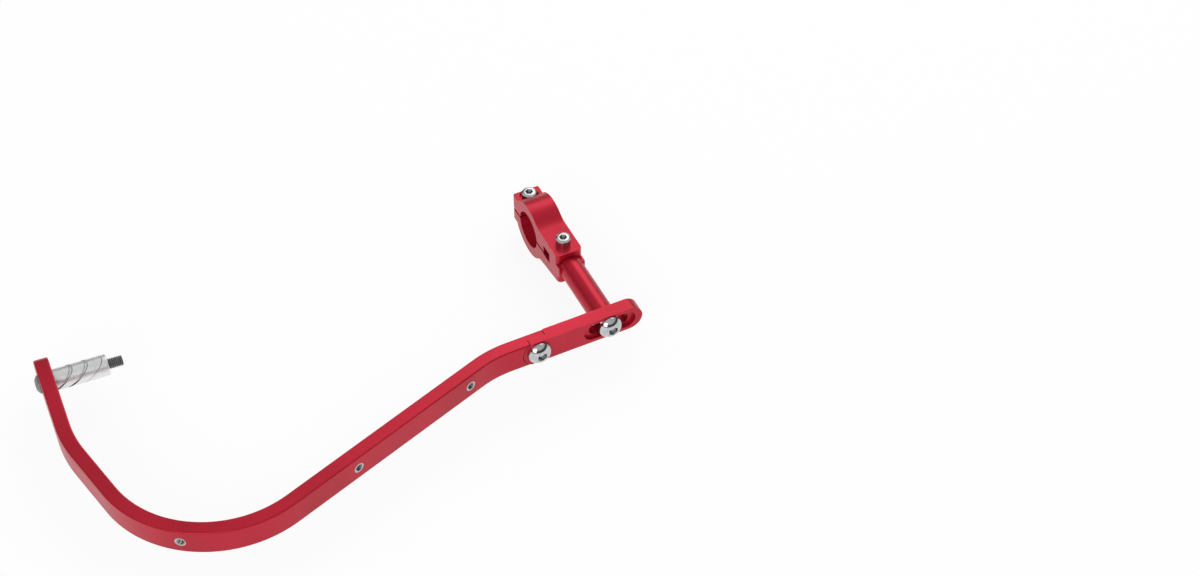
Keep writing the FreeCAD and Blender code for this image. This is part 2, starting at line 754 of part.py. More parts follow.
def make_screw(label, family, length, place=None, upright=False):
    """Socket screw, its head crowned in two cones; the head sits at its origin, the shank runs along +Y."""
    body = new_body(label, place)
    head = f"{family}_head / 2"
    top = f"(0 - {family}_head_height)"
    top_edge = f"{family}_top / 2"
    middle = f"({family}_head_height / 2 + {family}_rim / 2)"
    middle_edge = f"({head} * crown_share + {top_edge} * (1 - crown_share))"
    profile = new_sketch(body, "profile", "XY_Plane")
    draw_loop(
        profile,
        line("0", top),
        line(top_edge, top),
        line(middle_edge, f"0 - {middle}"),
        line(head, f"0 - {family}_rim"),
        line(head, "0"),
        line(f"{family}_diameter / 2", "0"),
        line(f"{family}_diameter / 2", length),
        line("0", length),
    )
    turn = body.newObject("PartDesign::Revolution", f"{label}_turn")
    turn.Profile = profile
    turn.ReferenceAxis = (profile, ["V_Axis"])
    settle(turn)
    socket = new_sketch(body, "socket", "XZ_Plane", f"{family}_head_height")
    draw_hexagon(socket, f"{family}_socket")
    cut(body, socket, f"{family}_socket_depth")
    if upright:
        body.Placement.Rotation = FreeCAD.Rotation(FreeCAD.Vector(1, 0, 0), -90)
    return body


def make_link_screws():
    """Two button head screws: one through the slot into the post, one through the lap joint."""
    front_face = f"(0 - clamp_reach - {HALF_THICKNESS})"
    make_screw("slot_bolt", "link_screw", "bar_thickness + slot_screw_grip", ("0", front_face, RISE))
    make_screw("link_bolt", "link_screw", "bar_thickness", ("0 - screw_pitch", front_face, RISE))


def make_clamp_screws():
    """Two upright socket screws that close the clamp."""
    front_length = f"{EAR_TOP} - {SEAT_HEIGHT} + clamp_thread_grip"
    rear_length = f"{REAR_SEAT} + {HALF_GAP} + clamp_thread_grip"
    front_place = ("0", "0 - front_screw_offset", EAR_TOP)
    rear_place = ("0", REAR_SCREW, REAR_SEAT)
    make_screw("clamp_bolt_front", "clamp_screw", front_length, front_place, upright=True)
    make_screw("clamp_bolt_rear", "clamp_screw", rear_length, rear_place, upright=True)


def on_bar(place):
    """Move a place on the bar's centreline into the guard's frame."""
    shift = (number("0 - screw_pitch"), number("0 - clamp_reach"), number(RISE))
    return place + FreeCAD.Vector(*shift)


def make_thread_inserts():
    """Threaded sleeves for a shield's screws, flush with both faces of the bar."""
    for name, place, heading in insert_stations():
        body = new_body(f"thread_insert_{name}")
        ring = new_sketch(body, "ring", "XZ_Plane")
        draw_circle(ring, "0", "0", "insert_diameter / 2")
        draw_circle(ring, "0", "0", "insert_bore / 2")
        add_pad(body, ring, "bar_thickness", "Symmetric")
        body.Placement = turned(on_bar(place), heading)


def plug_half(label, front):
    """One half of the plug, cut from a drilled round bar by a slanted plane."""
    body = new_body(label)
    fit = "screw" if front else "thread"
    start = HALF_THICKNESS
    end = f"({HALF_THICKNESS} + plug_length)"
    round_bar = new_sketch(body, "round", "XZ_Plane", f"0 - {start}")
    draw_circle(round_bar, "0", "0", "plug_diameter / 2")
    draw_circle(round_bar, "0", "0", hole("plug_screw", fit))
    add_pad(body, round_bar, "plug_length", reverse=True)
    if not front:
        ease_edges(body, "Chamfer", "nose", "plug_chamfer", lambda edge: is_plug_nose(edge, end))
    slant = "((sleeve_long_side - sleeve_short_side) / plug_diameter)"
    low = "(0 - plug_diameter)"
    high = "plug_diameter"
    shift = "0" if front else "wedge_gap"
    middle = f"({start} + (sleeve_long_side + sleeve_short_side) / 2 + {shift})"
    at_low = f"({middle} - plug_diameter * {slant})"
    at_high = f"({middle} + plug_diameter * {slant})"
    far = f"({end} + plug_length)" if front else f"({start} - plug_length)"
    face = new_sketch(body, "slant", "YZ_Plane")
    draw_loop(face, line(at_low, low), line(far, low), line(far, high), line(at_high, high))
    cut(body, face, "plug_diameter * 2", "Symmetric")
    return body


def is_plug_nose(edge, end):
    """Pick the outer rim of the plug's free end."""
    return is_circle(edge, "plug_diameter / 2") and near(edge.BoundBox.YMax, end) and near(
        edge.BoundBox.YMin, end
    )


def make_plug():
    """Expanding plug on the leg's inner face, drawn together by one long screw through the leg."""
    place, heading = plug_station()
    seat = turned(on_bar(place), heading)
    for label, front in (("plug_sleeve", True), ("plug_wedge", False)):
        plug_half(label, front).Placement = seat
    length = "bar_thickness + plug_length + plug_screw_tip"
    screw = make_screw("plug_bolt", "plug_screw", length)
    head_seat = FreeCAD.Vector(0, -number(HALF_THICKNESS), 0)
    screw.Placement = seat.multiply(FreeCAD.Placement(head_seat, FreeCAD.Rotation()))


def check_document():
    """Stop if any object failed or any sub-part has no sound solid."""
    doc.recompute()
    for item in doc.Objects:
        if "Invalid" in item.State or "Error" in item.State:
            raise RuntimeError(f"{item.Name} failed")
    for body in nodes:
        if body.Shape.isNull() or not body.Shape.isValid() or len(body.Shape.Solids) != 1:
            raise RuntimeError(f"{body.Label} has no sound solid")


make_guard_bar()
make_mount_link()
make_clamp_post()
make_clamp_cap()
make_clamp_base()
make_link_screws()
make_clamp_screws()
make_thread_inserts()
make_plug()
check_document()
os.makedirs("parts", exist_ok=True)
for node in nodes:
    node.Shape.exportStep(f"parts/{node.Label}.step")
    print(node.Label, round(node.Shape.Volume, 1))
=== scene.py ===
"""Looks of a motorcycle hand guard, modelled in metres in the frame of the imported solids."""
import json
import math

import bmesh
import bpy
from bmesh.types import BMEdge, BMFace, BMVert
from bpy.props import FloatProperty, FloatVectorProperty, PointerProperty
from mathutils import Matrix, Vector, geometry


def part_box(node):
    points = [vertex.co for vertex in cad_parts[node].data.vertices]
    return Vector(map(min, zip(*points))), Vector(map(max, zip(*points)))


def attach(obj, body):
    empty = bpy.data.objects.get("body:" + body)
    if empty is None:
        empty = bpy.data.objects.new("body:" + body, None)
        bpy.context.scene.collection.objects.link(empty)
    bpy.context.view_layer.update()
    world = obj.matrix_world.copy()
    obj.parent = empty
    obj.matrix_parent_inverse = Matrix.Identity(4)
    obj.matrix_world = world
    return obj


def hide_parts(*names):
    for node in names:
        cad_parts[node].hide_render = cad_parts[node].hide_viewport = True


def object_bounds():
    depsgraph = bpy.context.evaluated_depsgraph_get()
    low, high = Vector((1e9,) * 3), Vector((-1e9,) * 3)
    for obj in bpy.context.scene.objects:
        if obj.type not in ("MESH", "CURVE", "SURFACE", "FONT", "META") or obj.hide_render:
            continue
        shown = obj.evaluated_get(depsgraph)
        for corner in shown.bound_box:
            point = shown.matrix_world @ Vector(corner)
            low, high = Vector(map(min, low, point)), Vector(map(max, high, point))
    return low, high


bl_info = {
    "name": "Motorcycle hand guard",
    "version": (1, 0, 0),
    "blender": (4, 5, 0),
    "location": "View3D > Sidebar > Hand guard",
    "description": "Bent guard bar, adjusting link, handlebar clamp, screws, inserts and bar-end plug",
    "category": "Object",
}

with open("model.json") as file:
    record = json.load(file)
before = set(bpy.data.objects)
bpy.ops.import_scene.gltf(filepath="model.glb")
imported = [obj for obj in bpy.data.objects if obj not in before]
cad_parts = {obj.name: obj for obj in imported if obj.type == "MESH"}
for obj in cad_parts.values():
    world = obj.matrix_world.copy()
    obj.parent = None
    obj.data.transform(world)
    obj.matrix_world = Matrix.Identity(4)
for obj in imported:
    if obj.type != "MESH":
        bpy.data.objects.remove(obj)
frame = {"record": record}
CAD_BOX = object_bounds()
MOUNTS = {mount["name"]: mount for mount in frame["record"]["mounts"]}
LINK_LOW, LINK_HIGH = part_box("mount_link")
CAP_LOW, CAP_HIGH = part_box("clamp_cap")
BASE_LOW, BASE_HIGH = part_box("clamp_base")
POST_LOW, POST_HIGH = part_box("clamp_post")

MM = 0.001
BORE_RADIUS = MOUNTS["handlebar_clamp"]["dims"]["r_mm"] * MM
PLUG_RADIUS = MOUNTS["bar_end_plug"]["dims"]["r_mm"] * MM
PLUG_AXIS = Vector(MOUNTS["bar_end_plug"]["axis"])
UP = Vector((0, 0, 1))
ALONG_BORE = Vector((1, 0, 0))
FORWARD = Vector((0, -1, 0))
INSERTS = ("near", "far", "corner")

# Points nearer than this are one, and a tool runs this far past what it cuts
TOUCH = 1e-6
OVERCUT = 1.5 * MM

# Steps of round shapes
ROUND_STEP = math.radians(4)
FULL_ROUND = 0.4999
FINE_SIDES = 96
ROUND_SIDES = 64
HOLE_SIDES = 48
HEXAGON = 6
BROKEN_STEPS = 2
NOSE_STEPS = 3
RIM_STEPS = 4
CORNER_STEPS = 6
SLOT_STEPS = 16
EYE_STEPS = 18
TIP_STEPS = 32
THREAD_STEPS = 32

# Angles past which an edge is sharp or gets broken, and within which faces are one flat
SHARP_ANGLE = math.radians(35)
BEVEL_ANGLE = math.radians(50)
FLAT_ANGLE = math.radians(0.2)

# Play of a screw in its thread, of a screw in a plain hole and of an insert in the bar
THREAD_PLAY = 0.05 * MM
HOLE_PLAY = 0.2 * MM
INSERT_PLAY = 0.02 * MM

# Small cuts: thread depths, screw ends, broken edges and the drilled point under a socket
POST_THREAD = 18 * MM
THREAD_OVERLAP = 0.1 * MM
INSERT_THREAD = 0.4 * MM
STUD_THREAD = 0.55 * MM
THREAD_SHARE = 0.47
SCREW_END = 0.5 * MM
SCREW_EDGE = 0.18 * MM
PLUG_EDGE = 0.2 * MM
POINT_SIDES = 32
POINT_START = 0.2 * MM
POINT_WIDTH = 0.47
POINT_DEPTH = 0.2

# Camera, lamps and floor
CAMERA_PLACE = Vector((-0.3852, -0.8575, 0.96075))
CAMERA_TARGET = Vector((0.0077, -0.0610, 0.00235))
SENSOR_WIDTH = 36
NEAR_CLIP = 0.01
LAMPS = (
    ("rear_light", Vector((0.85, 0.85, 0.95)), 1.0, "key_power"),
    ("front_light", Vector((-0.9, -1.0, 0.8)), 0.8, "fill_power"),
)
FLOOR_REACH = 6
FLOOR_CELLS = 8
FLOOR_DROP = 0.1 * MM
FLOOR_GLOW = 0.88
BACKDROP_HEIGHTS = (0.08, 0.20, 0.42, 0.58)
WHITE = (1, 1, 1, 1)


def size(label, text, default):
    """A length that a user may change, in metres."""
    return FloatProperty(name=label, description=text, default=default, unit="LENGTH", precision=5)


def turn(label, text, degrees):
    """An angle that a user may change."""
    return FloatProperty(name=label, description=text, default=math.radians(degrees), subtype="ANGLE")


def paint(label, text, default):
    """A colour that a user may change."""
    return FloatVectorProperty(
        name=label, description=text, default=default, size=3, min=0, max=1, subtype="COLOR"
    )


def amount(label, text, default, unit="NONE"):
    """Another number that a user may change."""
    return FloatProperty(name=label, description=text, default=default, unit=unit)


class HandGuardBarSizes(bpy.types.PropertyGroup):
    """Sizes of the bent bar and of its half-lap joint with the link."""

    height: size("Bar height", "Height of the flat bar", LINK_HIGH.z - LINK_LOW.z)
    thickness: size("Bar thickness", "Thickness of the flat bar", LINK_HIGH.y - LINK_LOW.y)
    edge: size("Edge radius", "Radius of the bar's long edges", 0.9 * MM)
    cut_edge: size("Cut edge", "Width of the broken edges round holes and laps", 0.22 * MM)
    first_bend_start: size("First bend", "Distance from the lap screw to the first bend", 16.5 * MM)
    first_bend_angle: turn("First bend angle", "Angle of the bend next to the link", 18.6)
    first_bend_radius: size("First bend radius", "Centreline radius of that bend", 61.7 * MM)
    front_run: size("Front run", "Straight length across the front", 129.6 * MM)
    corner_angle: turn("Corner angle", "Angle of the bend at the outer corner", 96.2)
    corner_radius: size("Corner radius", "Centreline radius of the corner", 63.3 * MM)
    corner_run: size("Corner run", "Straight length behind the corner", 31.9 * MM)
    last_bend_angle: turn("Last bend angle", "Angle of the bend in the leg", 16.3)
    last_bend_radius: size("Last bend radius", "Centreline radius of that bend", 77.3 * MM)
    leg_run: size("Leg run", "Straight length to the plug's axis", 39.0 * MM)
    tip_reach: size("Tip reach", "Distance from the plug's axis to the round tip's centre", 6.9 * MM)
    screw_pitch: size("Screw pitch", "Distance between the link's two screws", 43.0 * MM)
    lap_corner: size("Lap corner", "Reach of the lap's nose at the bar's edges", 4.7 * MM)
    lap_gap: size("Lap gap", "Gap round the lap's nose", 0.4 * MM)
    slot_length: size("Slot length", "Length of the adjusting slot", 24.0 * MM)
    slot_width: size("Slot width", "Width of the adjusting slot", 8.4 * MM)
    counterbore_length: size("Counterbore length", "Length of the recess round the slot", 31.5 * MM)
    counterbore_width: size("Counterbore width", "Width of the recess round the slot", 11.6 * MM)
    counterbore_depth: size("Counterbore depth", "Depth of the recess round the slot", 2.0 * MM)


class HandGuardClampSizes(bpy.types.PropertyGroup):
    """Sizes of the handlebar clamp and its post."""

    bore_radius: size("Bore radius", "Radius of the bore", BORE_RADIUS)
    crown_radius: size("Crown radius", "Outer radius of the clamp", CAP_HIGH.z)
    edge: size("Clamp edge", "Width of the clamp's broken edges", 0.45 * MM)
    ear_corner: size("Ear corner", "Radius of the front ears' upright corners", 2.5 * MM)
    rear_corner: size("Rear corner", "Radius of the rear ears' upright corners", 1.0 * MM)
    rear_screw: size("Rear screw", "Distance from the bore to the rear screw", 15.4 * MM)
    front_screw: size("Front screw", "Distance from the bore to the front screw", 29.8 * MM)
    rear_ear_top: size("Rear ear top", "Height of the upper rear ear", 10.4 * MM)
    rear_seat: size("Rear seat", "Height of the spot face under the rear screw", 8.6 * MM)
    rear_ear_bottom: size("Rear ear bottom", "Depth of the lower rear ear", 8.0 * MM)
    spot_radius: size("Spot face", "Radius of the spot face round the rear screw", 5.6 * MM)
    ear_thickness: size("Ear thickness", "Thickness of the cap's front ear", 7.0 * MM)
    ear_blend: size("Ear blend", "Radius between the crown and the front ear", 14.0 * MM)
    eye_room: size("Eye room", "Gap behind the post's eye", 1.5 * MM)
    base_ear_tip: size("Base ear tip", "Thickness of the lower ear at its tip", 4.8 * MM)
    base_ear_root: size("Base ear root", "Thickness of the lower ear at its root", 9.0 * MM)
    base_ear_blend: size("Base ear blend", "Radius between the crown and the lower ear", 8.0 * MM)
    tang_thickness: size("Tang thickness", "Thickness of the post's flat eye", 7.0 * MM)
    post_radius: size("Post radius", "Radius of the round post", 7.0 * MM)
    post_room: size("Post room", "Gap between the post's shoulder and the ears", 0.5 * MM)
    screw_hole: size("Screw hole", "Radius of the clamp screws' holes", 2.7 * MM)


def socket_screw(radius, head, height, rim, top, socket, socket_depth):
    """Sizes of one kind of socket screw, from its measures in millimetres."""
    return {
        "radius": size("Shank", "Radius of the shank", radius * MM),
        "head": size("Head", "Radius of the head", head * MM),
        "height": size("Head height", "Height of the head", height * MM),
        "rim": size("Rim", "Height of the straight rim of the head", rim * MM),
        "top": size("Top", "Radius of the head's flat top", top * MM),
        "socket": size("Socket", "Hexagon across flats", socket * MM),
        "socket_depth": size("Socket depth", "Depth of the hexagon", socket_depth * MM),
    }


class HandGuardLinkScrew(bpy.types.PropertyGroup):
    """Sizes of the link's two screws."""

    __annotations__ = socket_screw(
        radius=4.0, head=7.0, height=4.4, rim=1.0, top=3.5, socket=5.0, socket_depth=2.6
    )


class HandGuardClampScrew(bpy.types.PropertyGroup):
    """Sizes of the clamp's two screws."""

    __annotations__ = socket_screw(
        radius=2.5, head=4.25, height=5.0, rim=4.4, top=3.1, socket=4.0, socket_depth=2.5
    )


class HandGuardPlugScrew(bpy.types.PropertyGroup):
    """Sizes of the plug's long screw."""

    __annotations__ = socket_screw(
        radius=3.0, head=5.25, height=2.4, rim=0.6, top=2.6, socket=4.0, socket_depth=1.5
    )


class HandGuardInsertSizes(bpy.types.PropertyGroup):
    """Sizes of the thread inserts."""

    radius: size("Insert radius", "Outer radius of a thread insert", 3.0 * MM)
    bore: size("Insert bore", "Bore radius of a thread insert", 2.1 * MM)
    pitch: size("Insert pitch", "Pitch of the thread in an insert", 0.8 * MM)


class HandGuardPlugSizes(bpy.types.PropertyGroup):
    """Sizes of the bar-end plug and of its screw's free end."""

    radius: size("Plug radius", "Outer radius of the plug", PLUG_RADIUS)
    length: size("Plug length", "Length of the plug", 29.5 * MM)
    short: size("Short side", "Length of the fixed half on its short side", 11.5 * MM)
    long: size("Long side", "Length of the fixed half on its long side", 26.5 * MM)
    gap: size("Slant gap", "Gap between the two slanted faces", 0.4 * MM)
    nose: size("Nose chamfer", "Chamfer at the plug's free end", 1.0 * MM)
    groove_pitch: size("Groove pitch", "Spacing of the slanted grooves along the plug", 8.4 * MM)
    groove_width: size("Groove width", "Width of a slanted groove", 1.3 * MM)
    groove_depth: size("Groove depth", "Depth of a slanted groove", 0.5 * MM)
    stud_length: size("Stud length", "Length of thread beyond the plug", 8.0 * MM)
    stud_pitch: size("Stud pitch", "Pitch of the plug screw's thread", 1.0 * MM)


class HandGuardFinishes(bpy.types.PropertyGroup):
    """Colours of the finishes."""

    red: paint("Anodised red", "Main colour of the anodised pieces", (0.49, 0.008, 0.030))
    red_deep: paint("Deep red", "Darker drift in the anodised colour", (0.40, 0.005, 0.020))
    # Painted highlight along the broken edges, a little of it paler anodising there
    red_edge: paint("Edge red", "Paler colour along broken edges", (0.56, 0.055, 0.090))
    steel: paint("Bright steel", "Colour of the plated screws", (0.60, 0.61, 0.62))
    steel_dull: paint("Dull steel", "Duller drift in the plating", (0.46, 0.47, 0.48))
    # Painted shade, not a colour of unplated metal: the sockets turn this near-black by how deep a point
    # lies in them
    socket: paint("Socket", "Colour of the unplated socket floors", (0.03, 0.03, 0.032))
    insert: paint("Insert steel", "Colour of the thread inserts", (0.50, 0.51, 0.52))
    aluminium: paint("Bare aluminium", "Colour of the plug", (0.84, 0.845, 0.85))
    aluminium_dull: paint("Dull aluminium", "Duller drift in the plug's colour", (0.76, 0.765, 0.775))
    # Painted shade: this grey is mixed into the plug's grooves and bore by how deep a point lies
    groove: paint("Groove grey", "Colour inside the plug's grooves and bore", (0.30, 0.305, 0.31))
    dark_steel: paint("Dark steel", "Colour of the plug's screw", (0.20, 0.20, 0.205))
    dark_steel_worn: paint("Worn dark steel", "Paler drift in that colour", (0.38, 0.38, 0.39))


class HandGuardStage(bpy.types.PropertyGroup):
    """Floor, light and camera."""

    floor: paint("Floor", "Colour of the floor", (0.86, 0.86, 0.86))
    key_power: amount("Key power", "Power of the rear light", 5.5, "POWER")
    fill_power: amount("Fill power", "Power of the front light", 6.0, "POWER")
    sky: amount("Sky", "Strength of the even light all round", 0.85)
    gap: amount("Gap", "Brightness between floor and ceiling in mirrored views", 0.04)
    ceiling: amount("Ceiling", "Brightness of the ceiling in mirrored views", 0.62)
    lens: amount("Lens", "Focal length in millimetres", 70.17, "CAMERA")


class HandGuardSettings(bpy.types.PropertyGroup):
    """All sizes and colours of the hand guard."""

    bar: PointerProperty(type=HandGuardBarSizes)
    clamp: PointerProperty(type=HandGuardClampSizes)
    link_screw: PointerProperty(type=HandGuardLinkScrew)
    clamp_screw: PointerProperty(type=HandGuardClampScrew)
    plug_screw: PointerProperty(type=HandGuardPlugScrew)
    insert: PointerProperty(type=HandGuardInsertSizes)
    plug: PointerProperty(type=HandGuardPlugSizes)
    finish: PointerProperty(type=HandGuardFinishes)
    stage: PointerProperty(type=HandGuardStage)


def settings():
    """The scene's sizes and colours."""
    return bpy.context.scene.hand_guard


# Shapes

def facing(direction):
    """Turn that brings +Z onto a direction."""
    return direction.to_track_quat("Z", "Y").to_matrix().to_4x4()


def block(low, high):
    """A box between two corners."""
    low, high = Vector(low), Vector(high)
    bm = bmesh.new()
    matrix = Matrix.Translation((low + high) / 2) @ Matrix.Diagonal((*(high - low), 1))
    bmesh.ops.create_cube(bm, size=1, matrix=matrix)
    return bm


def rod(start, end, radius, sides=ROUND_SIDES, end_radius=None):
    """A round bar or cone between two points."""
    bm = bmesh.new()
    bmesh.ops.create_cone(
        bm, cap_ends=True, segments=sides, radius1=radius,
        radius2=radius if end_radius is None else end_radius, depth=(end - start).length,
        matrix=Matrix.Translation((start + end) / 2) @ facing(end - start),
    )
    return bm


def edges_along(bm, axis):
    """Straight edges that run along an axis."""
    return [
        edge for edge in bm.edges
        if (edge.verts[1].co - edge.verts[0].co).cross(axis).length < TOUCH
    ]


def upright_edges(bm, y):
    """Upright edges at the front or rear end of a clamp piece."""
    return [edge for edge in edges_along(bm, UP) if abs(edge.verts[0].co.y - y) < TOUCH]


def round_edges(bm, edges, radius, steps):
    """Round some edges with a true arc."""
    bmesh.ops.bevel(
        bm, geom=edges, offset=radius, offset_type="OFFSET", segments=steps, profile=0.5,
        affect="EDGES", material=-1, clamp_overlap=True,
    )


def slot_room(middle, length, width, front, back):
    """The room of a slot with round ends, lying along the bar."""
    low = Vector((middle.x - length / 2, front, middle.z - width / 2))
    high = Vector((middle.x + length / 2, back, middle.z + width / 2))
    bm = block(low, high)
    round_edges(bm, edges_along(bm, FORWARD), width * FULL_ROUND, SLOT_STEPS)
    return bm


def close_up(bm):
    """Merge doubles and turn all faces outwards."""
    bmesh.ops.remove_doubles(bm, verts=bm.verts, dist=TOUCH)
    bmesh.ops.recalc_face_normals(bm, faces=bm.faces)


def solid(name, bm):
    """Make an object of a bmesh."""
    close_up(bm)
    mesh = bpy.data.meshes.new(name)
    bm.to_mesh(mesh)
    bm.free()
    piece = bpy.data.objects.new(name, mesh)
    bpy.context.scene.collection.objects.link(piece)
    return piece


def carve(piece, tool, operation="DIFFERENCE"):
    """Cut a shape out of a piece, or join one to it."""
    helper = solid("carving_tool", tool)
    modifier = piece.modifiers.new("Carve", "BOOLEAN")
    modifier.object = helper
    modifier.operation = operation
    modifier.solver = "EXACT"
    shaped = piece.evaluated_get(bpy.context.evaluated_depsgraph_get())
    rough = piece.data
    carved = bpy.data.meshes.new_from_object(shaped)
    piece.modifiers.clear()
    piece.data = carved
    carved.name = piece.name
    bpy.data.meshes.remove(rough)
    bpy.data.meshes.remove(helper.data)


def drill(piece, place, direction, radius, reach, sides=HOLE_SIDES):
    """Drill a round hole through a place, as far to either side."""
    carve(piece, rod(place - direction * reach, place + direction * reach, radius, sides))


def taken(piece):
    """Take a helper piece's shape out of the scene, to use it as a tool."""
    bm = bmesh.new()
    bm.from_mesh(piece.data)
    bpy.data.meshes.remove(piece.data)
    return bm


def pick(items, kind):
    """The items of one kind in an operator's result."""
    return [item for item in items if isinstance(item, kind)]


class Outline:
    """An outline drawn in one plane with straight and round stretches."""

    def __init__(self, place, axis):
        self.bm = bmesh.new()
        self.axis = axis
        self.first = self.bm.verts.new(place)
        self.last = self.first

    def straight(self, *places):
        """Draw straight on through some points."""
        for place in places:
            self.last = bmesh.ops.extrude_vert_indiv(self.bm, verts=[self.last])["verts"][0]
            bmesh.ops.translate(self.bm, verts=[self.last], vec=Vector(place) - self.last.co)

    def round(self, centre, place, way):
        """Draw an arc about a centre; way is 1 for anticlockwise and -1 for clockwise."""
        start = self.last.co - Vector(centre)
        end = Vector(place) - Vector(centre)
        angle = math.atan2(self.axis.dot(start.cross(end)), start.dot(end))
        if angle * way < 0:
            angle += math.tau * way
        spun = bmesh.ops.spin(
            self.bm, geom=[self.last], cent=centre, axis=self.axis, angle=angle,
            steps=max(2, math.ceil(abs(angle) / ROUND_STEP)), use_duplicate=False,
        )
        self.last = pick(spun["geom_last"], BMVert)[0]

    def plate(self, run):
        """Close the outline and raise it into a solid."""
        bmesh.ops.contextual_create(self.bm, geom=[self.last, self.first])
        bmesh.ops.contextual_create(self.bm, geom=self.bm.edges[:])
        push(self.bm, self.bm.faces[:][0], run)
        return self.bm

    def turned(self, steps):
        """Spin the outline about its own Z axis into a turned part."""
        bmesh.ops.spin(
            self.bm, geom=self.bm.edges[:] + self.bm.verts[:], cent=(0, 0, 0), axis=UP,
            angle=math.tau, steps=steps, use_merge=True, use_duplicate=False,
        )
        return self.bm


def push(bm, face, run):
    """Draw a face out along a straight run, and give the new end face."""
    grown = bmesh.ops.extrude_face_region(bm, geom=[face])["geom"]
    bmesh.ops.translate(bm, verts=pick(grown, BMVert), vec=run)
    return pick(grown, BMFace)[0]


def sweep(bm, face, centre, angle):
    """Draw a face out round a bend, and give the new end face."""
    spun = bmesh.ops.spin(
        bm, geom=[face, *face.edges, *face.verts], cent=centre, axis=UP, angle=angle,
        steps=math.ceil(abs(angle) / ROUND_STEP * 2), use_duplicate=False,
    )
    return pick(spun["geom_last"], BMFace)[0]


def weld(mesh):
    """Close up a mesh after carving."""
    bm = bmesh.new()
    bm.from_mesh(mesh)
    close_up(bm)
    bm.to_mesh(mesh)
    bm.free()


def dress(piece, make_finish, node, edge=0.0):
    """Give a piece its finish, its broken edges and its place on the CAD body."""
    mesh = piece.data
    weld(mesh)
    mesh.materials.clear()
    mesh.materials.append(finish_of(make_finish))
    mesh.polygons.foreach_set("use_smooth", [True] * len(mesh.polygons))
    mesh.set_sharp_from_angle(angle=SHARP_ANGLE)
    if edge:
        bevel = piece.modifiers.new("Broken edges", "BEVEL")
        bevel.width = edge
        bevel.segments = BROKEN_STEPS
        bevel.limit_method = "ANGLE"
        bevel.angle_limit = BEVEL_ANGLE
        bevel.use_clamp_overlap = True
        bevel.miter_outer = "MITER_ARC"
        even = piece.modifiers.new("Even shading", "WEIGHTED_NORMAL")
        even.keep_sharp = True
    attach(piece, "root")
    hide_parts(node)


# Layout

def middle_height():
    """Height of the bar's centreline."""
    return (LINK_LOW.z + LINK_HIGH.z) / 2


def post_front():
    """Centre of the link on the post's axis."""
    return Vector((0, (LINK_LOW.y + LINK_HIGH.y) / 2, middle_height()))


def lap_centre():
    """Centre of the lap joint's screw."""
    return post_front() - Vector((settings().bar.screw_pitch, 0, 0))


def nose_radius():
    """Radius of the lap's rounded nose."""
    bar = settings().bar
    return math.hypot(bar.lap_corner, bar.height / 2)


def eye_face(side):
    """Height of the post's flat eye on its upper side, 1, or on its lower side, -1."""
    return middle_height() + side * settings().clamp.tang_thickness / 2


def ear_top():
    """Height of the cap's front ear."""
    return eye_face(1) + settings().clamp.ear_thickness


def eye_room_end():
    """Rear end of the room for the post's eye."""
    clamp = settings().clamp
    return CAP_HIGH.x + clamp.eye_room - clamp.front_screw


def rear_spot():
    """Middle of the spot face under the rear screw."""
    clamp = settings().clamp
    return Vector((0, clamp.rear_screw, clamp.rear_seat))


def insert_place(name):
    """Middle and direction of a thread insert."""
    mount = MOUNTS[f"shield_screw_{name}"]
    return Vector(mount["pos_m"]), Vector(mount["axis"])


def heading_of(angle):
    """Unit vector at an angle from +X."""
    return Vector((math.cos(angle), math.sin(angle), 0))


def first_bend():
    """Start of the bar's first bend on its centreline."""
    return lap_centre() - Vector((settings().bar.first_bend_start, 0, 0))


def bar_path():
    """The bar's bends in order: centre, signed angle, then heading, length and end of the run behind."""
    bar = settings().bar
    bends = (
        (bar.first_bend_angle, bar.first_bend_radius, bar.front_run, 1),
        (bar.corner_angle, bar.corner_radius, bar.corner_run, -1),
        (bar.last_bend_angle, bar.last_bend_radius, bar.leg_run + bar.tip_reach, -1),
    )
    place, angle = first_bend(), math.pi
    for bend, radius, run, way in bends:
        centre = place + heading_of(angle + way * math.pi / 2) * radius
        angle += bend * way
        place = centre - heading_of(angle + way * math.pi / 2) * radius + heading_of(angle) * run
        yield centre, bend * way, angle, run, place


def bar_tip():
    """Place of the plug's axis on the leg, and the direction of the plug from there."""
    *_, (_, _, angle, _, end) = bar_path()
    return end - heading_of(angle) * settings().bar.tip_reach, heading_of(angle - math.pi / 2)


# Guard bar and link

def bar_section(bm, place):
    """The bar's section with rounded corners, square to +X at a place."""
    bar = settings().bar
    matrix = (
        Matrix.Translation(place) @ Matrix.Rotation(math.pi / 2, 4, "Y")
        @ Matrix.Diagonal((bar.height, bar.thickness, 1, 1))
    )
    bmesh.ops.create_grid(bm, x_segments=2, y_segments=1, size=0.5, matrix=matrix)
    middle = [edge for edge in bm.edges if len(edge.link_faces) == 2]
    bmesh.ops.dissolve_edges(bm, edges=middle, use_verts=False)
    corners = [vert for vert in bm.verts if abs(vert.co.z - place.z) > bar.height / 4]
    bmesh.ops.bevel(
        bm, geom=corners, offset=bar.edge, offset_type="OFFSET", segments=RIM_STEPS, profile=0.5,
        affect="VERTICES", material=-1,
    )
    return bm.faces[:][0]


def bar_sweep():
    """The bar drawn along its runs and bends, with a round tip."""
    bm = bmesh.new()
    nose = lap_centre() + Vector((nose_radius(), 0, 0))
    face = push(bm, bar_section(bm, nose), first_bend() - nose)
    for centre, bend, angle, run, end in bar_path():
        face = sweep(bm, face, centre, bend)
        face = push(bm, face, heading_of(angle) * run)
    upper = [edge for edge in face.edges if all(vert.co.z > end.z - TOUCH for vert in edge.verts)]
    bmesh.ops.delete(bm, geom=[face], context="FACES_ONLY")
    bmesh.ops.spin(
        bm, geom=[*upper, *dict.fromkeys(vert for edge in upper for vert in edge.verts)], cent=end,
        axis=UP.cross(heading_of(angle)), angle=math.pi, steps=TIP_STEPS, use_duplicate=False,
    )
    clean_flats(bm)
    return bm


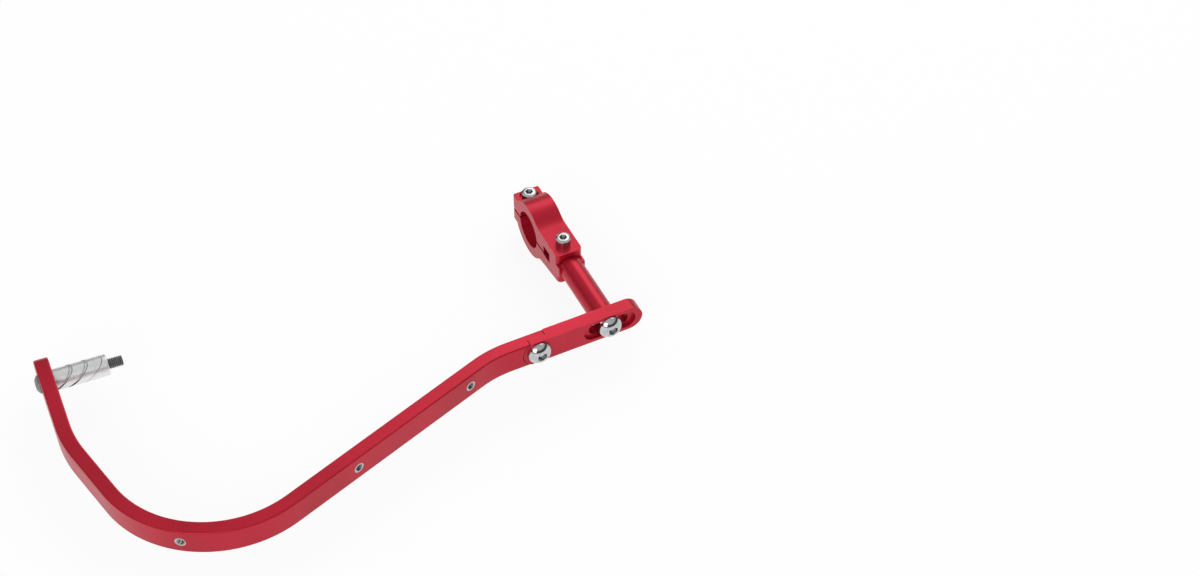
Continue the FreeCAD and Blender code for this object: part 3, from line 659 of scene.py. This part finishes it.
def clean_flats(bm):
    """Merge doubles, take out faces inside the solid and join faces that lie in one plane."""
    bmesh.ops.remove_doubles(bm, verts=bm.verts, dist=TOUCH)
    inner = [face for face in bm.faces if all(len(edge.link_faces) > 2 for edge in face.edges)]
    bmesh.ops.delete(bm, geom=inner, context="FACES_ONLY")
    bmesh.ops.recalc_face_normals(bm, faces=bm.faces)
    bmesh.ops.dissolve_limit(
        bm, angle_limit=FLAT_ANGLE, use_dissolve_boundaries=False, verts=bm.verts, edges=bm.edges
    )


def lap_room(side):
    """The room in front of the bar's tongue, 1, or behind the link's, -1."""
    bar = settings().bar
    centre = lap_centre()
    reach = FORWARD * (bar.thickness / 2 + OVERCUT) * side
    return rod(centre, centre + reach, nose_radius() + bar.lap_gap, FINE_SIDES)


def trim_nose(piece, side):
    """Round the nose of a lap's tongue; side is 1 on the bar and -1 on the link."""
    bar = settings().bar
    centre = lap_centre()
    depth = bar.thickness / 2 + OVERCUT
    near_edge = centre.x + side * (bar.lap_corner - OVERCUT)
    far_edge = centre.x + side * (nose_radius() + OVERCUT)
    low = Vector((min(near_edge, far_edge), centre.y - depth, centre.z - bar.height))
    high = Vector((max(near_edge, far_edge), centre.y + depth, centre.z + bar.height))
    waste = solid("nose_waste", block(low, high))
    drill(waste, centre, -FORWARD, nose_radius(), 2 * depth, FINE_SIDES)
    carve(piece, taken(waste))


def is_rim(edge):
    """Pick the edges of the link's front and rear faces."""
    first, last = (vert.co for vert in edge.verts)
    level = abs(first.y - last.y) < TOUCH
    on_face = min(abs(first.y - LINK_LOW.y), abs(first.y - LINK_HIGH.y)) < TOUCH
    return level and on_face and max(first.x, last.x) > lap_centre().x


class HANDGUARD_OT_bar(bpy.types.Operator):
    """Model the bent guard bar with its lap tongue and insert holes"""

    bl_idname = "hand_guard.bar"
    bl_label = "Guard bar"

    def execute(self, context):
        sizes, bar = settings(), settings().bar
        piece = solid("bent_bar", bar_sweep())
        trim_nose(piece, 1)
        carve(piece, lap_room(1))
        drill(piece, lap_centre(), FORWARD, sizes.link_screw.radius + THREAD_PLAY, bar.thickness)
        drill(piece, *bar_tip(), sizes.plug_screw.radius + HOLE_PLAY, bar.thickness)
        for name in INSERTS:
            drill(piece, *insert_place(name), sizes.insert.radius + INSERT_PLAY, bar.thickness)
        dress(piece, red_anodised_satin, "guard_bar", edge=bar.cut_edge)
        return {"FINISHED"}


class HANDGUARD_OT_link(bpy.types.Operator):
    """Model the adjusting link with its slot, recess and lap tongue"""

    bl_idname = "hand_guard.link"
    bl_label = "Adjusting link"

    def execute(self, context):
        bar, screw = settings().bar, settings().link_screw
        low = Vector((lap_centre().x - nose_radius() - OVERCUT / 2, LINK_LOW.y, LINK_LOW.z))
        bm = block(low, LINK_HIGH)
        inner_end = [edge for edge in edges_along(bm, FORWARD) if edge.verts[0].co.x > 0]
        round_edges(bm, inner_end, bar.height * FULL_ROUND, EYE_STEPS)
        round_edges(bm, [edge for edge in bm.edges if is_rim(edge)], bar.edge, RIM_STEPS)
        piece = solid("adjusting_link", bm)
        trim_nose(piece, -1)
        carve(piece, lap_room(-1))
        drill(piece, lap_centre(), FORWARD, screw.radius + HOLE_PLAY, bar.thickness)
        slots = (
            (bar.slot_length, bar.slot_width, LINK_HIGH.y + OVERCUT),
            (bar.counterbore_length, bar.counterbore_width, LINK_LOW.y + bar.counterbore_depth),
        )
        for length, width, back in slots:
            carve(piece, slot_room(post_front(), length, width, LINK_LOW.y - OVERCUT, back))
        dress(piece, red_anodised_satin, "mount_link", edge=bar.cut_edge)
        return {"FINISHED"}


# Handlebar clamp

def at(y, z):
    """A point of the clamp's profile on its left side."""
    return Vector((CAP_LOW.x, y, z))


def on_circle(radius, z, way):
    """The point of a circle round the bore at a height; way is 1 for the rear and -1 for the front."""
    return at(way * math.sqrt(radius ** 2 - z ** 2), z)


def clamp_half(name, outline, front, rear):
    """Raise a clamp half's profile, round its ears and drill its screw holes."""
    clamp = settings().clamp
    bm = outline.plate(ALONG_BORE * (CAP_HIGH.x - CAP_LOW.x))
    for end, radius in ((front, clamp.ear_corner), (rear, clamp.rear_corner)):
        round_edges(bm, upright_edges(bm, end), radius, CORNER_STEPS)
    piece = solid(name, bm)
    for place in (clamp.rear_screw, -clamp.front_screw):
        drill(piece, Vector((0, place, 0)), UP, clamp.screw_hole, 2 * clamp.crown_radius)
    return piece


class HANDGUARD_OT_clamp(bpy.types.Operator):
    """Model the two clamp halves and the post between them"""

    bl_idname = "hand_guard.clamp"
    bl_label = "Handlebar clamp"

    def execute(self, context):
        self.cap()
        self.base()
        self.post()
        return {"FINISHED"}

    def cap(self):
        """Upper half: crowned saddle, rear ear with a spot face, long front ear."""
        clamp = settings().clamp
        gap, top, low = CAP_LOW.z, ear_top(), eye_face(1)
        reach = clamp.crown_radius + clamp.ear_blend
        blend = on_circle(reach, top + clamp.ear_blend, -1)
        meet = at(0, 0).lerp(blend, clamp.crown_radius / reach)
        outline = Outline(on_circle(clamp.crown_radius, clamp.rear_ear_top, 1), ALONG_BORE)
        outline.round(at(0, 0), at(meet.y, meet.z), 1)
        outline.round(blend, at(blend.y, top), -1)
        outline.straight(at(CAP_LOW.y, top), at(CAP_LOW.y, low), at(eye_room_end(), low))
        outline.straight(at(eye_room_end(), gap), on_circle(clamp.bore_radius, gap, -1))
        outline.round(at(0, 0), on_circle(clamp.bore_radius, gap, 1), -1)
        outline.straight(at(CAP_HIGH.y, gap), at(CAP_HIGH.y, clamp.rear_ear_top))
        piece = clamp_half("clamp_upper_half", outline, CAP_LOW.y, CAP_HIGH.y)
        carve(piece, rod(rear_spot(), rear_spot() + UP * clamp.crown_radius, clamp.spot_radius))
        dress(piece, red_anodised_satin, "clamp_cap", edge=clamp.edge)

    def base(self):
        """Lower half: saddle, rear ear, tapering front ear under the post's eye."""
        clamp = settings().clamp
        gap, seat = BASE_HIGH.z, eye_face(-1)
        tip = at(BASE_LOW.y, seat - clamp.base_ear_tip)
        root = on_circle(clamp.crown_radius, seat - clamp.base_ear_root, -1)
        shift = (root - tip).normalized().cross(ALONG_BORE) * clamp.base_ear_blend
        reach = clamp.crown_radius + clamp.base_ear_blend
        crossing = geometry.intersect_line_sphere(tip + shift, root + shift, at(0, 0), reach, False)
        blend = min((point for point in crossing if point), key=lambda point: (point - tip).length)
        meet = at(0, 0).lerp(blend, clamp.crown_radius / reach)
        outline = Outline(on_circle(clamp.bore_radius, gap, -1), ALONG_BORE)
        outline.straight(at(eye_room_end(), gap), at(eye_room_end(), seat), at(BASE_LOW.y, seat))
        outline.straight(tip, blend - shift)
        outline.round(blend, meet, -1)
        outline.round(at(0, 0), on_circle(clamp.crown_radius, -clamp.rear_ear_bottom, 1), 1)
        outline.straight(at(BASE_HIGH.y, -clamp.rear_ear_bottom), at(BASE_HIGH.y, gap))
        outline.straight(on_circle(clamp.bore_radius, gap, 1))
        outline.round(at(0, 0), on_circle(clamp.bore_radius, gap, -1), -1)
        piece = clamp_half("clamp_lower_half", outline, BASE_LOW.y, BASE_HIGH.y)
        dress(piece, red_anodised_satin, "clamp_base", edge=clamp.edge)

    def post(self):
        """Round post with a flat eye."""
        clamp, screw = settings().clamp, settings().link_screw
        upper_end, lower_end = CAP_LOW.y - clamp.post_room, BASE_LOW.y - clamp.post_room
        front = Vector((0, POST_LOW.y, middle_height()))
        shoulder = Vector((0, upper_end, middle_height()))
        piece = solid("clamp_stem", rod(front, shoulder, clamp.post_radius, FINE_SIDES))
        relief_low = Vector((2 * POST_LOW.x, lower_end, middle_height() - 2 * clamp.post_radius))
        relief_high = Vector((2 * POST_HIGH.x, upper_end + OVERCUT, eye_face(-1)))
        carve(piece, block(relief_low, relief_high))
        tang = block((POST_LOW.x, lower_end, eye_face(-1)), (POST_HIGH.x, POST_HIGH.y, eye_face(1)))
        rounding = (POST_HIGH.x - POST_LOW.x) * FULL_ROUND
        round_edges(tang, upright_edges(tang, POST_HIGH.y), rounding, EYE_STEPS)
        carve(piece, tang, "UNION")
        eye = Vector((0, -clamp.front_screw, middle_height()))
        drill(piece, eye, UP, clamp.screw_hole, clamp.tang_thickness)
        mouth, bottom = front + FORWARD * OVERCUT, front - FORWARD * POST_THREAD
        carve(piece, rod(mouth, bottom, screw.radius + THREAD_PLAY, HOLE_SIDES))
        dress(piece, red_anodised_satin, "clamp_post", edge=clamp.edge)


# Screws, inserts and plug

def screw_shape(screw, shank):
    """A socket screw's turned shape: head above the XY plane and shank below it."""
    radius, head, height, rim, top = screw.radius, screw.head, screw.height, screw.rim, screw.top
    dome = (top ** 2 + height ** 2 - head ** 2 - rim ** 2) / (2 * (height - rim))
    outline = Outline((0, 0, height), FORWARD)
    outline.straight((top, 0, height))
    outline.round((0, 0, dome), (head, 0, rim), -1)
    outline.straight((head, 0, 0), (radius, 0, 0), (radius, 0, SCREW_END - shank))
    outline.straight((radius - SCREW_END, 0, -shank), (0, 0, -shank))
    return outline.turned(ROUND_SIDES)


def screw_piece(name, screw, place, direction, shank):
    """A socket screw with its head's underside at a place and its head pointing in a direction."""
    bm = screw_shape(screw, shank)
    bmesh.ops.transform(bm, matrix=Matrix.Translation(place) @ facing(direction), verts=bm.verts)
    piece = solid(name, bm)
    top = place + direction * screw.height
    bottom = top - direction * screw.socket_depth
    carve(piece, rod(bottom, top + direction * OVERCUT, screw.socket / math.sqrt(3), HEXAGON))
    start, point = bottom + direction * POINT_START, bottom - direction * screw.socket * POINT_DEPTH
    carve(piece, rod(start, point, screw.socket * POINT_WIDTH, POINT_SIDES, 0.0))
    return piece


def thread_ridge(place, direction, root, crest, pitch, turns):
    """A helical ridge of triangular section round an axis."""
    bm = bmesh.new()
    half = pitch * THREAD_SHARE
    corners = [bm.verts.new(corner) for corner in ((root, 0, -half), (crest, 0, 0), (root, 0, half))]
    face = bm.faces.new(corners)
    bmesh.ops.spin(
        bm, geom=[face, *face.edges, *face.verts], cent=(0, 0, 0), axis=UP, angle=math.tau * turns,
        dvec=UP * pitch / THREAD_STEPS, steps=int(turns * THREAD_STEPS), use_duplicate=False,
    )
    bmesh.ops.transform(bm, matrix=Matrix.Translation(place) @ facing(direction), verts=bm.verts)
    return bm


class HANDGUARD_OT_screws(bpy.types.Operator):
    """Model the two link screws and the two clamp screws"""

    bl_idname = "hand_guard.screws"
    bl_label = "Screws"

    def execute(self, context):
        link, clamp = settings().link_screw, settings().clamp_screw
        front = FORWARD * (settings().bar.thickness / 2)
        ear = Vector((0, -settings().clamp.front_screw, ear_top()))
        screws = (
            ("slot_screw", link, post_front() + front, FORWARD, "slot_bolt"),
            ("lap_screw", link, lap_centre() + front, FORWARD, "link_bolt"),
            ("clamp_front_screw", clamp, ear, UP, "clamp_bolt_front"),
            ("clamp_rear_screw", clamp, rear_spot(), UP, "clamp_bolt_rear"),
        )
        for name, screw, place, direction, node in screws:
            shank = max((place - corner).dot(direction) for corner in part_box(node))
            piece = screw_piece(name, screw, place, direction, shank)
            dress(piece, bright_plated_steel, node, edge=SCREW_EDGE)
        return {"FINISHED"}


class HANDGUARD_OT_inserts(bpy.types.Operator):
    """Model the three threaded sleeves in the bar"""

    bl_idname = "hand_guard.inserts"
    bl_label = "Thread inserts"

    def execute(self, context):
        insert, length = settings().insert, settings().bar.thickness
        root, crest = insert.bore - THREAD_OVERLAP, insert.bore + INSERT_THREAD
        turns = length / insert.pitch + 2
        for name in INSERTS:
            place, axis = insert_place(name)
            start, end = place - axis * (length / 2), place + axis * (length / 2)
            piece = solid(f"insert_{name}", rod(start, end, insert.radius))
            drill(piece, place, axis, insert.bore, length)
            start = start - axis * insert.pitch
            carve(piece, thread_ridge(start, axis, root, crest, insert.pitch, turns))
            dress(piece, machined_insert_steel, f"thread_insert_{name}")
        return {"FINISHED"}


class HANDGUARD_OT_plug(bpy.types.Operator):
    """Model the expanding bar-end plug and its long screw"""

    bl_idname = "hand_guard.plug"
    bl_label = "Bar-end plug"

    def execute(self, context):
        plug = settings().plug
        tip, inward = bar_tip()
        seat = tip + inward * (settings().bar.thickness / 2)
        end = seat + inward * plug.length
        slant = (plug.long - plug.short) / (2 * plug.radius)
        normal = (inward - UP * slant).normalized()
        middle = seat + inward * (plug.long + plug.short) / 2
        fixed = self.half("plug_fixed_half", seat, end, middle, normal, HOLE_PLAY, True)
        for index in (1, 2):
            carve(fixed, self.groove(middle - inward * plug.groove_pitch * index, inward, normal))
        dress(fixed, turned_aluminium, "plug_sleeve", edge=PLUG_EDGE)
        middle = middle + inward * plug.gap
        sliding = self.half("plug_sliding_half", seat, end, middle, normal, THREAD_PLAY, False)
        dress(sliding, turned_aluminium, "plug_wedge", edge=PLUG_EDGE)
        self.long_screw(tip, inward)
        return {"FINISHED"}

    def groove(self, place, inward, normal):
        """The room of a shallow groove in a slanted plane round the plug."""
        plug = settings().plug
        wide = 10 * plug.radius
        slab = bmesh.new()
        shape = Matrix.Diagonal((wide, wide, plug.groove_width, 1))
        bmesh.ops.create_cube(slab, size=1, matrix=Matrix.Translation(place) @ facing(normal) @ shape)
        waste = solid("groove_waste", slab)
        drill(waste, place, inward, plug.radius - plug.groove_depth, wide, FINE_SIDES)
        return taken(waste)

    def half(self, name, seat, end, middle, normal, play, keeps_seat):
        """One half of the plug, cut by a slanted plane."""
        plug, screw = settings().plug, settings().plug_screw
        length = end - seat
        along = length.normalized()
        bm = rod(seat, end, plug.radius, FINE_SIDES)
        if not keeps_seat:
            at_end = {vert for vert in bm.verts if abs((vert.co - end).dot(along)) < TOUCH}
            rim = [edge for edge in bm.edges if at_end.issuperset(edge.verts)]
            round_edges(bm, rim, plug.nose, NOSE_STEPS)
        cut = bmesh.ops.bisect_plane(
            bm, geom=bm.verts[:] + bm.edges[:] + bm.faces[:], dist=TOUCH, plane_co=middle,
            plane_no=normal, clear_outer=keeps_seat, clear_inner=not keeps_seat,
        )
        bmesh.ops.contextual_create(bm, geom=pick(cut["geom_cut"], BMEdge))
        piece = solid(name, bm)
        carve(piece, rod(seat - length, end + length, screw.radius + play))
        return piece

    def long_screw(self, tip, inward):
        """Button head screw through the leg and the plug, with its thread showing beyond the plug."""
        plug, screw, thickness = settings().plug, settings().plug_screw, settings().bar.thickness
        place = tip - inward * (thickness / 2)
        plain = thickness + plug.length
        piece = screw_piece("plug_screw", screw, place, -inward, plain + plug.stud_length)
        start = place + inward * (plain - 2 * plug.stud_pitch)
        turns = plug.stud_length / plug.stud_pitch + 3
        root, crest = screw.radius + THREAD_OVERLAP, screw.radius - STUD_THREAD
        carve(piece, thread_ridge(start, inward, root, crest, plug.stud_pitch, turns))
        dress(piece, dark_plated_steel, "plug_bolt")


# Finishes, with the scale of their noise in waves per metre

def finish_of(make_finish):
    """Give a finish, made when it is first asked for."""
    name = make_finish.__name__
    return bpy.data.materials.get(name) or make_finish(name)


def shader(name, metallic, roughness):
    """A new material, its node tree and its main shader node."""
    material = bpy.data.materials.new(name)
    material.use_nodes = True
    body = material.node_tree.nodes["Principled BSDF"]
    body.inputs["Metallic"].default_value = metallic
    body.inputs["Roughness"].default_value = roughness
    return material, material.node_tree, body


def add_node(tree, kind, **values):
    """Add a node, and set its inputs or join them to other nodes' outputs."""
    node = tree.nodes.new(kind)
    for name, value in values.items():
        feed(tree, value, node.inputs[name.replace("_", " ")])
    return node


def feed(tree, value, target):
    """Join an output to an input, or set the input's own value."""
    if isinstance(value, bpy.types.NodeSocket):
        tree.links.new(value, target)
    else:
        target.default_value = value


def number(tree, operation, first, second):
    """A number worked out from two others."""
    node = add_node(tree, "ShaderNodeMath")
    node.operation = operation
    feed(tree, first, node.inputs[0])
    feed(tree, second, node.inputs[1])
    return node.outputs["Value"]


def noise(tree, scale, detail, stretch=(1, 1, 1), spin=0.0):
    """Noise on the piece's own coordinates, stretched along its axes."""
    place = add_node(tree, "ShaderNodeTexCoord").outputs["Object"]
    mapping = add_node(tree, "ShaderNodeMapping", Vector=place, Rotation=(0, 0, spin), Scale=stretch)
    place = mapping.outputs["Vector"]
    return add_node(tree, "ShaderNodeTexNoise", Vector=place, Scale=scale, Detail=detail).outputs["Fac"]


def spread(tree, value, low, high, bottom=0.3, top=0.7):
    """Map a stretch of a value, by default a noise's middle part, onto a range."""
    node = add_node(
        tree, "ShaderNodeMapRange", Value=value, From_Min=bottom, From_Max=top, To_Min=low, To_Max=high
    )
    return node.outputs["Result"]


def mixed(tree, share, first, second):
    """Mix two colours, or a colour socket and a colour."""
    node = add_node(tree, "ShaderNodeMix")
    node.data_type = "RGBA"
    colours = [socket for socket in node.inputs if socket.type == "RGBA"]
    for socket, colour in zip(colours, (first, second)):
        feed(tree, colour if isinstance(colour, bpy.types.NodeSocket) else (*colour, 1), socket)
    tree.links.new(share, node.inputs["Factor"])
    return next(socket for socket in node.outputs if socket.type == "RGBA")


def drifting(tree, first, second, scale, detail, most=1.0):
    """A colour that drifts from one shade towards another."""
    return mixed(tree, spread(tree, noise(tree, scale, detail), 0.0, most), first, second)


def coloured(tree, body, colour, gloss, low, high):
    """Give a shader its colour, and a roughness that varies between two values."""
    tree.links.new(colour, body.inputs["Base Color"])
    tree.links.new(spread(tree, gloss, low, high), body.inputs["Roughness"])


def bumped(tree, body, height, strength, distance):
    """Give a shader fine relief from a height."""
    node = add_node(tree, "ShaderNodeBump", Strength=strength, Distance=distance, Height=height)
    tree.links.new(node.outputs["Normal"], body.inputs["Normal"])


def edge_mask(tree, radius, most):
    """How near a point is to a broken edge, for the painted highlight along it."""
    soft = add_node(tree, "ShaderNodeBevel", Radius=radius)
    flat = add_node(tree, "ShaderNodeNewGeometry")
    compare = add_node(tree, "ShaderNodeVectorMath")
    compare.operation = "DOT_PRODUCT"
    tree.links.new(soft.outputs["Normal"], compare.inputs[0])
    tree.links.new(flat.outputs["Normal"], compare.inputs[1])
    return spread(tree, compare.outputs["Value"], most, 0.0, bottom=0.80, top=0.99)


def hollow_mask(tree, reach, deep, shallow):
    """How far a point lies inside a hollow such as a socket, for painted shade there."""
    hollow = add_node(tree, "ShaderNodeAmbientOcclusion", Distance=reach)
    hollow.only_local = True
    return spread(tree, hollow.outputs["AO"], 1.0, 0.0, bottom=deep, top=shallow)


def red_anodised_satin(name):
    """Satin red anodising over extruded bar: faint drawing lines, fine grain, and a painted highlight
    along the broken edges, a little of it paler anodising there.
    """
    finish = settings().finish
    material, tree, body = shader(name, metallic=0.65, roughness=0.36)
    colour = drifting(tree, finish.red, finish.red_deep, scale=28, detail=4)
    # Painted highlight: the broken edges are lightened towards a pale pink
    colour = mixed(tree, edge_mask(tree, radius=0.5 * MM, most=0.55), colour, finish.red_edge)
    lines = noise(tree, scale=1, detail=3, stretch=(12, 12, 1400))
    coloured(tree, body, colour, lines, low=0.30, high=0.43)
    bumped(tree, body, noise(tree, scale=2600, detail=2), strength=0.06, distance=0.02 * MM)
    body.inputs["Coat Weight"].default_value = 0.05
    body.inputs["Coat Roughness"].default_value = 0.30
    return material


def bright_plated_steel(name):
    """Bright plating with faint smears, and painted shade deep in the hex sockets."""
    finish = settings().finish
    material, tree, body = shader(name, metallic=1.0, roughness=0.14)
    colour = drifting(tree, finish.steel, finish.steel_dull, scale=420, detail=3)
    # Painted shade: points deep in the hex socket turn near-black
    socket_shade = hollow_mask(tree, reach=2.5 * MM, deep=0.35, shallow=0.75)
    colour = mixed(tree, socket_shade, colour, finish.socket)
    coloured(tree, body, colour, noise(tree, scale=900, detail=4), low=0.09, high=0.20)
    bumped(tree, body, noise(tree, scale=5200, detail=2), strength=0.03, distance=0.01 * MM)
    return material


def machined_insert_steel(name):
    """Plain machined steel."""
    finish = settings().finish
    material, tree, body = shader(name, metallic=1.0, roughness=0.25)
    colour = drifting(tree, finish.insert, finish.steel_dull, scale=900, detail=3)
    coloured(tree, body, colour, noise(tree, scale=1600, detail=3), low=0.18, high=0.32)
    bumped(tree, body, noise(tree, scale=6000, detail=2), strength=0.04, distance=0.01 * MM)
    return material


def turned_aluminium(name):
    """Bare aluminium with fine turning rings round the plug's axis, and painted shade in the grooves and
    the screw bore.
    """
    finish = settings().finish
    material, tree, body = shader(name, metallic=1.0, roughness=0.40)
    colour = drifting(tree, finish.aluminium, finish.aluminium_dull, scale=260, detail=3)
    # Painted shade in the grooves and the screw bore
    groove_shade = hollow_mask(tree, reach=1.5 * MM, deep=0.60, shallow=0.95)
    colour = mixed(tree, groove_shade, colour, finish.groove)
    heading = math.atan2(PLUG_AXIS.y, PLUG_AXIS.x)
    rings = noise(tree, scale=1, detail=3, stretch=(5200, 40, 40), spin=-heading)
    coloured(tree, body, colour, rings, low=0.34, high=0.48)
    bumped(tree, body, rings, strength=0.02, distance=0.01 * MM)
    return material


def dark_plated_steel(name):
    """Dark plated steel, a little worn."""
    finish = settings().finish
    material, tree, body = shader(name, metallic=0.9, roughness=0.40)
    colour = drifting(tree, finish.dark_steel, finish.dark_steel_worn, scale=700, detail=4, most=0.6)
    coloured(tree, body, colour, noise(tree, scale=1800, detail=3), low=0.30, high=0.50)
    bumped(tree, body, noise(tree, scale=5200, detail=2), strength=0.05, distance=0.01 * MM)
    return material


# Stage

def seen_directly(tree):
    """1 for rays that show the background itself: camera, mirror and see-through rays."""
    path = add_node(tree, "ShaderNodeLightPath").outputs
    seen = number(tree, "MAXIMUM", path["Is Camera Ray"], path["Is Glossy Ray"])
    return number(tree, "MAXIMUM", seen, path["Is Transmission Ray"])


def backdrop_brightness(tree):
    """White at the horizon and downwards, a dark gap above it and a softer ceiling overhead."""
    stage = settings().stage
    place = add_node(tree, "ShaderNodeTexCoord").outputs["Generated"]
    height = add_node(tree, "ShaderNodeSeparateXYZ", Vector=place).outputs["Z"]
    fall = add_node(tree, "ShaderNodeValToRGB", Fac=height)
    steps = fall.color_ramp.elements
    lowest, *between, highest = BACKDROP_HEIGHTS
    steps[0].position, steps[1].position = lowest, highest
    for position in between:
        steps.new(position)
    for step, level in zip(steps, (1.0, stage.gap, stage.gap, stage.ceiling)):
        step.color = (level, level, level, 1)
    camera = add_node(tree, "ShaderNodeLightPath").outputs["Is Camera Ray"]
    return number(tree, "MAXIMUM", fall.outputs["Color"], camera)


def blend_shaders(tree, share, first, second, output):
    """Mix two shaders and send the result to an output node."""
    mix = add_node(tree, "ShaderNodeMixShader", Fac=share)
    tree.links.new(first, mix.inputs[1])
    tree.links.new(second, mix.inputs[2])
    tree.links.new(mix.outputs["Shader"], tree.nodes[output].inputs["Surface"])


def pale_floor(name):
    """Pale floor that shows nearly white and keeps the guard's shadow."""
    material, tree, body = shader(name, metallic=0.0, roughness=0.9)
    body.inputs["Base Color"].default_value = (*settings().stage.floor, 1)
    glow = add_node(tree, "ShaderNodeEmission").outputs["Emission"]
    share = number(tree, "MULTIPLY", seen_directly(tree), FLOOR_GLOW)
    blend_shaders(tree, share, body.outputs["BSDF"], glow, "Material Output")
    return material


def sky_light():
    """Even light all round, with a white background."""
    world = bpy.data.worlds.new("studio")
    world.use_nodes = True
    bpy.context.scene.world = world
    tree = world.node_tree
    even = tree.nodes["Background"]
    even.inputs["Color"].default_value = WHITE
    even.inputs["Strength"].default_value = settings().stage.sky
    white = add_node(tree, "ShaderNodeBackground", Color=WHITE, Strength=backdrop_brightness(tree))
    first, second = even.outputs["Background"], white.outputs["Background"]
    blend_shaders(tree, seen_directly(tree), first, second, "World Output")


def set_up(name, data, place, target):
    """Put a lamp or the camera at a place, facing a target."""
    holder = bpy.data.objects.new(name, data)
    holder.location = place
    holder.rotation_euler = (target - place).to_track_quat("-Z", "Y").to_euler()
    bpy.context.scene.collection.objects.link(holder)
    return holder


class HANDGUARD_OT_stage(bpy.types.Operator):
    """Set up the floor, the light and the camera"""

    bl_idname = "hand_guard.stage"
    bl_label = "Stage"

    def execute(self, context):
        self.floor()
        sky_light()
        middle = (CAD_BOX[0] + CAD_BOX[1]) / 2
        for name, away, width, power in LAMPS:
            lamp = bpy.data.lights.new(name, "AREA")
            lamp.shape = "SQUARE"
            lamp.size = width
            lamp.energy = getattr(settings().stage, power)
            set_up(name, lamp, middle + away, middle)
        self.camera(context.scene)
        return {"FINISHED"}

    def floor(self):
        """Pale floor under the guard."""
        bm = bmesh.new()
        level = Matrix.Translation((0, 0, CAD_BOX[0].z - FLOOR_DROP))
        bmesh.ops.create_grid(
            bm, x_segments=FLOOR_CELLS, y_segments=FLOOR_CELLS, size=FLOOR_REACH, matrix=level
        )
        floor = solid("pale_floor", bm)
        floor.data.materials.append(finish_of(pale_floor))

    def camera(self, scene):
        """Camera at the photograph's viewing angle."""
        data = bpy.data.cameras.new("photo_camera")
        data.lens = settings().stage.lens
        data.sensor_width = SENSOR_WIDTH
        data.sensor_fit = "HORIZONTAL"
        data.clip_start = NEAR_CLIP
        scene.camera = set_up("photo_camera", data, CAMERA_PLACE, CAMERA_TARGET)
        scene.view_settings.view_transform = "Standard"


class HANDGUARD_PT_panel(bpy.types.Panel):
    """Hand guard pieces and their sizes"""

    bl_idname = "HANDGUARD_PT_panel"
    bl_label = "Hand guard"
    bl_space_type = "VIEW_3D"
    bl_region_type = "UI"
    bl_category = "Hand guard"

    def draw(self, context):
        for operator in OPERATORS:
            self.layout.operator(operator.bl_idname)
        for group in HandGuardSettings.__annotations__:
            values = getattr(settings(), group)
            column = self.layout.column(align=True)
            column.label(text=group.replace("_", " ").capitalize())
            for name in values.__annotations__:
                column.prop(values, name)


GROUPS = (
    HandGuardBarSizes, HandGuardClampSizes, HandGuardLinkScrew, HandGuardClampScrew, HandGuardPlugScrew,
    HandGuardInsertSizes, HandGuardPlugSizes, HandGuardFinishes, HandGuardStage, HandGuardSettings,
)
OPERATORS = (
    HANDGUARD_OT_bar, HANDGUARD_OT_link, HANDGUARD_OT_clamp, HANDGUARD_OT_screws, HANDGUARD_OT_inserts,
    HANDGUARD_OT_plug, HANDGUARD_OT_stage,
)
CLASSES = GROUPS + OPERATORS + (HANDGUARD_PT_panel,)


def register():
    """Register the classes and the scene's settings."""
    for item in CLASSES:
        bpy.utils.register_class(item)
    bpy.types.Scene.hand_guard = PointerProperty(type=HandGuardSettings)


def unregister():
    """Remove the settings and the classes."""
    del bpy.types.Scene.hand_guard
    for item in reversed(CLASSES):
        bpy.utils.unregister_class(item)


def main():
    """Build every piece and the stage."""
    register()
    bpy.ops.hand_guard.bar()
    bpy.ops.hand_guard.link()
    bpy.ops.hand_guard.clamp()
    bpy.ops.hand_guard.screws()
    bpy.ops.hand_guard.inserts()
    bpy.ops.hand_guard.plug()
    bpy.ops.hand_guard.stage()


if __name__ == "__main__":
    main()
